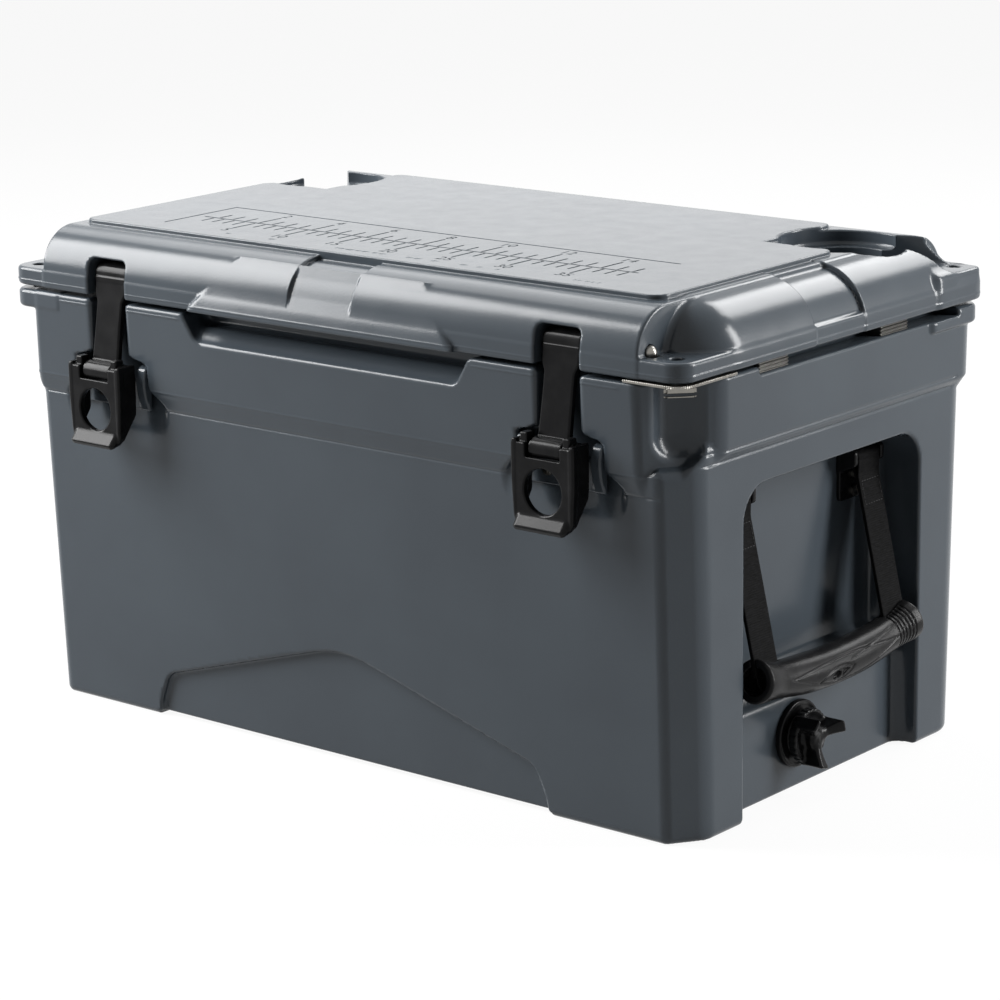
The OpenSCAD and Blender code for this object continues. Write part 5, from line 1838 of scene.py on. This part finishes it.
@dataclass
class Drain:
    """The drain: a dished flange in the wall and a plug with a three-lobed knob."""

    y: float = -15.0
    z: float = 38.0
    face_x: float = 274.0
    inner_x: float = 206.0
    bore: float = 7.5
    tube: float = 11.0
    flange: tuple[float, float] = (23.0, 4.0)
    seal_t: float = 2.5
    fit: float = 0.3
    head_r: float = 18.5
    head_t: float = 6.0
    stem: float = 45.0
    stem_fit: float = 0.2
    knurls: int = 24
    knurl_d: float = 0.7
    dishes: tuple[float, float] = (1.6, 1.4)
    hub: tuple[float, float] = (8.0, 13.0)
    lobes: tuple[float, float, float] = (15.0, 135.0, 255.0)
    lobe_r: float = 19.5
    lobe_x: tuple[float, float] = (12.5, 22.0)
    fin: tuple[float, float] = (3.0, 1.8)

    def bushing(self, x: Array, y: Array, z: Array) -> Array:
        """Tube through the wall and a dished flange.

        Args:
            x, y, z: positions along the axes, in millimetres.

        Returns:
            The signed distance in millimetres, negative inside.
        """
        rho = np.hypot(y - self.y, z - self.z)
        r, t = self.flange
        tube = keep(rho - self.tube, span(x, self.inner_x - 8, self.face_x + 1))
        dish = self.dishes[0] * blend_step(-rho, -r + 1.0, -r + 4.0)
        flange = keep(keep(rho - r, self.face_x - x, 0.5), x - self.face_x - t + dish, 1.2)
        return cut(join(tube, flange, 0.5), rho - self.bore, 0.5)

    def plug(self, x: Array, y: Array, z: Array) -> Array:
        """Stem, knurled head and a saddle-shaped knob with three lobes.

        Args:
            x, y, z: positions along the axes, in millimetres.

        Returns:
            The signed distance in millimetres, negative inside.
        """
        v, w = y - self.y, z - self.z
        rho = np.hypot(v, w)
        x0 = self.face_x + self.flange[1] + self.fit + self.seal_t
        stem = keep(rho - self.bore + self.stem_fit, span(x, x0 - self.stem, x0 + 2), 0.8)
        turn, r = np.arctan2(w, v), self.head_r
        knurl = self.knurl_d * (0.5 + 0.5 * np.cos(turn * self.knurls)) ** 3 \
            * blend_step(rho, r - 4, r - 1)
        dish = self.dishes[1] * blend_step(-rho, -r + 2, -r + 6)
        d = join(stem, keep(rho - r + knurl, span(x, x0, x0 + self.head_t - dish), 1.2), 0.8)
        hub_r, hub_x = self.hub
        d = join(d, keep(rho - hub_r, span(x, x0 + 2, x0 + hub_x), 3.0), 3.0)
        h = x - x0
        (thin, thicker), (saddle, tip) = self.fin, self.lobe_x
        for degrees in self.lobes:
            a = math.radians(degrees)
            along = v * math.cos(a) + w * math.sin(a)
            across = -v * math.sin(a) + w * math.cos(a)
            part = np.clip(along / self.lobe_r, 0, 1.1)
            thick = thin + thicker * part ** 2
            top = saddle + (tip - saddle) * part ** 1.6
            fin = keep(np.abs(across) - thick, keep(-along, along - self.lobe_r, 3), 2.0)
            d = join(d, keep(fin, keep(h - top, 3 - h) * 0.8, 2.4), 2.6)
        return d

    def build(self, shop: Shop) -> None:
        """Makes the flange and the plug.

        Args:
            shop: the materials and the way that pieces are handed over.
        """
        y, z = self.y, self.z
        bushing = smooth_object("drain_flange_moulding", (
            self.bushing, graded(196, 2.5, 272, 0.6, 280), graded(y - 25, 0.9, y + 25),
            graded(z - 25, 0.9, z + 25)))
        shop.place(bushing, Body.COOLER, "black_plastic", "drain_bushing")
        plug = smooth_object("drain_knob_moulding", (
            self.plug, graded(234, 2.0, 279, 0.7, 305), graded(y - 24, 0.7, y + 24),
            graded(z - 24, 0.7, z + 24)))
        shop.place(plug, Body.DRAIN_CAP, "black_plastic", "drain_plug")


# ---- studio -------------------------------------------------------------------------


@dataclass(frozen=True)
class Lamp:
    """A soft box: place, what it points at and size in metres, and power in watts."""

    name: str
    place: tuple[float, float, float]
    aim: tuple[float, float, float]
    size: tuple[float, float]
    power: float

    def build(self) -> None:
        """Makes the lamp."""
        lamp = bpy.data.lights.new(self.name, "AREA")
        lamp.shape, lamp.energy = "RECTANGLE", self.power
        lamp.size, lamp.size_y = self.size
        obj = bpy.data.objects.new(self.name, lamp)
        obj.location = self.place
        ahead = Vector(self.aim) - Vector(self.place)
        obj.rotation_euler = ahead.to_track_quat("-Z", "Y").to_euler()
        bpy.context.scene.collection.objects.link(obj)


@dataclass
class Studio:
    """White floor, soft boxes and the camera."""

    eye: tuple[float, float, float] = (1503.0, -1779.5, 753.6)
    yaw: float = 40.0
    pitch: float = 14.47
    roll: float = -1.13
    lens: float = 122.36
    sensor: float = 36.0
    reach: float = 50.0
    sky: tuple[float, float] = (0.03, 1.0)
    floor_r: float = 9.0
    floor_grey: float = 0.3
    paper_grey: float = 0.95
    glow_share: float = 0.93
    lamps: tuple[Lamp, ...] = (
        Lamp("key_left", (-1.6, -0.92, 1.3), (-0.1, 0, 0.3), (1.0, 1.7), 100.0),
        Lamp("side_right", (2.11, 1.57, 1.05), (0.2, 0, 0.25), (0.7, 2.0), 92.0),
        Lamp("top_left", (-1.3, 0.65, 1.85), (0, 0, 0.34), (1.2, 1.2), 16.0),
        Lamp("top_right", (0.25, 1.75, 1.8), (0.3, 0, 0.34), (1.2, 1.0), 36.0),
        Lamp("back_strip", (-1.7, 2.1, 0.95), (0, 0, 0.35), (2.2, 0.8), 4.0),
    )

    def build(self) -> None:
        """Makes the camera, lamps, world and floor."""
        yaw, pitch, roll = (math.radians(a) for a in (self.yaw, self.pitch, self.roll))
        right = Vector((math.cos(yaw), math.sin(yaw), 0))
        ahead = Vector((-math.sin(yaw), math.cos(yaw), 0))
        forward = ahead * math.cos(pitch) - Vector((0, 0, math.sin(pitch)))
        up = ahead * math.sin(pitch) + Vector((0, 0, math.cos(pitch)))
        across = right * math.cos(roll) + up * math.sin(roll)
        above = up * math.cos(roll) - right * math.sin(roll)
        data = bpy.data.cameras.new("camera")
        data.lens, data.sensor_width = self.lens, self.sensor
        data.clip_end = self.reach
        camera = bpy.data.objects.new("camera", data)
        camera.matrix_world = Matrix((across, above, -forward)).transposed().to_4x4()
        camera.location = Vector(self.eye) * MM
        bpy.context.scene.collection.objects.link(camera)
        bpy.context.scene.camera = camera
        for lamp in self.lamps:
            lamp.build()
        self.world()
        self.ground()
        bpy.context.scene.view_settings.view_transform = "Standard"

    def world(self) -> None:
        """White to the camera and in reflections, a plain soft light on everything else."""
        world = bpy.data.worlds.new("studio_world")
        bpy.context.scene.world = world
        world.use_nodes = True
        nodes, links = world.node_tree.nodes, world.node_tree.links
        back = nodes["Background"]
        strength = nodes.new("ShaderNodeMapRange")
        strength.inputs["To Min"].default_value, strength.inputs["To Max"].default_value = self.sky
        links.new(backdrop_rays(nodes, links), strength.inputs["Value"])
        links.new(strength.outputs["Result"], back.inputs["Strength"])
        back.inputs["Color"].default_value = (1, 1, 1, 1)

    def ground(self) -> None:
        """A wide white floor that keeps the object's soft shadow."""
        bm = bmesh.new()
        bmesh.ops.create_circle(bm, cap_ends=True, segments=64, radius=self.floor_r)
        mesh = bpy.data.meshes.new("floor")
        bm.to_mesh(mesh)
        bm.free()
        obj = bpy.data.objects.new("floor", mesh)
        bpy.context.scene.collection.objects.link(obj)
        f = Finish("floor_white").set(Roughness=0.9, Base_Color=(*[self.floor_grey] * 3, 1))
        paper = f.nodes.new("ShaderNodeBsdfDiffuse")
        paper.inputs["Color"].default_value = (*[self.paper_grey] * 3, 1)
        glow = f.nodes.new("ShaderNodeEmission")
        seen, pick = f.nodes.new("ShaderNodeMixShader"), f.nodes.new("ShaderNodeMixShader")
        seen.inputs["Fac"].default_value = self.glow_share
        f.links.new(paper.outputs["BSDF"], seen.inputs[1])
        f.links.new(glow.outputs["Emission"], seen.inputs[2])
        f.links.new(backdrop_rays(f.nodes, f.links), pick.inputs["Fac"])
        f.links.new(f.shader.outputs["BSDF"], pick.inputs[1])
        f.links.new(seen.outputs["Shader"], pick.inputs[2])
        f.links.new(pick.outputs["Shader"], f.nodes["Material Output"].inputs["Surface"])
        mesh.materials.append(f.material)


def backdrop_rays(nodes: bpy.types.Nodes, links: bpy.types.NodeLinks) -> bpy.types.NodeSocket:
    """1 for the rays that should see the plain white background.

    Args:
        nodes, links: the nodes and links of the tree that it is added to.

    Returns:
        The socket of that value.
    """
    path = nodes.new("ShaderNodeLightPath")
    first = nodes.new("ShaderNodeMath")
    second = nodes.new("ShaderNodeMath")
    first.operation = second.operation = "MAXIMUM"
    links.new(path.outputs["Is Camera Ray"], first.inputs[0])
    links.new(path.outputs["Is Glossy Ray"], first.inputs[1])
    links.new(first.outputs[0], second.inputs[0])
    links.new(path.outputs["Is Transmission Ray"], second.inputs[1])
    return second.outputs[0]


def main() -> None:
    """Builds the studio and every piece."""
    logging.basicConfig(level=logging.INFO, format="%(name)s: %(message)s", stream=sys.stdout)
    Studio().build()
    shop = Shop()
    shop.dress_cad()
    BodyShell().build(shop)
    LidShell().build(shop)
    for side in Side:
        Latch(side).build(shop)
        Handle(side).build(shop)
    Plates().build(shop)
    Drain().build(shop)


if __name__ == "__main__":
    main()
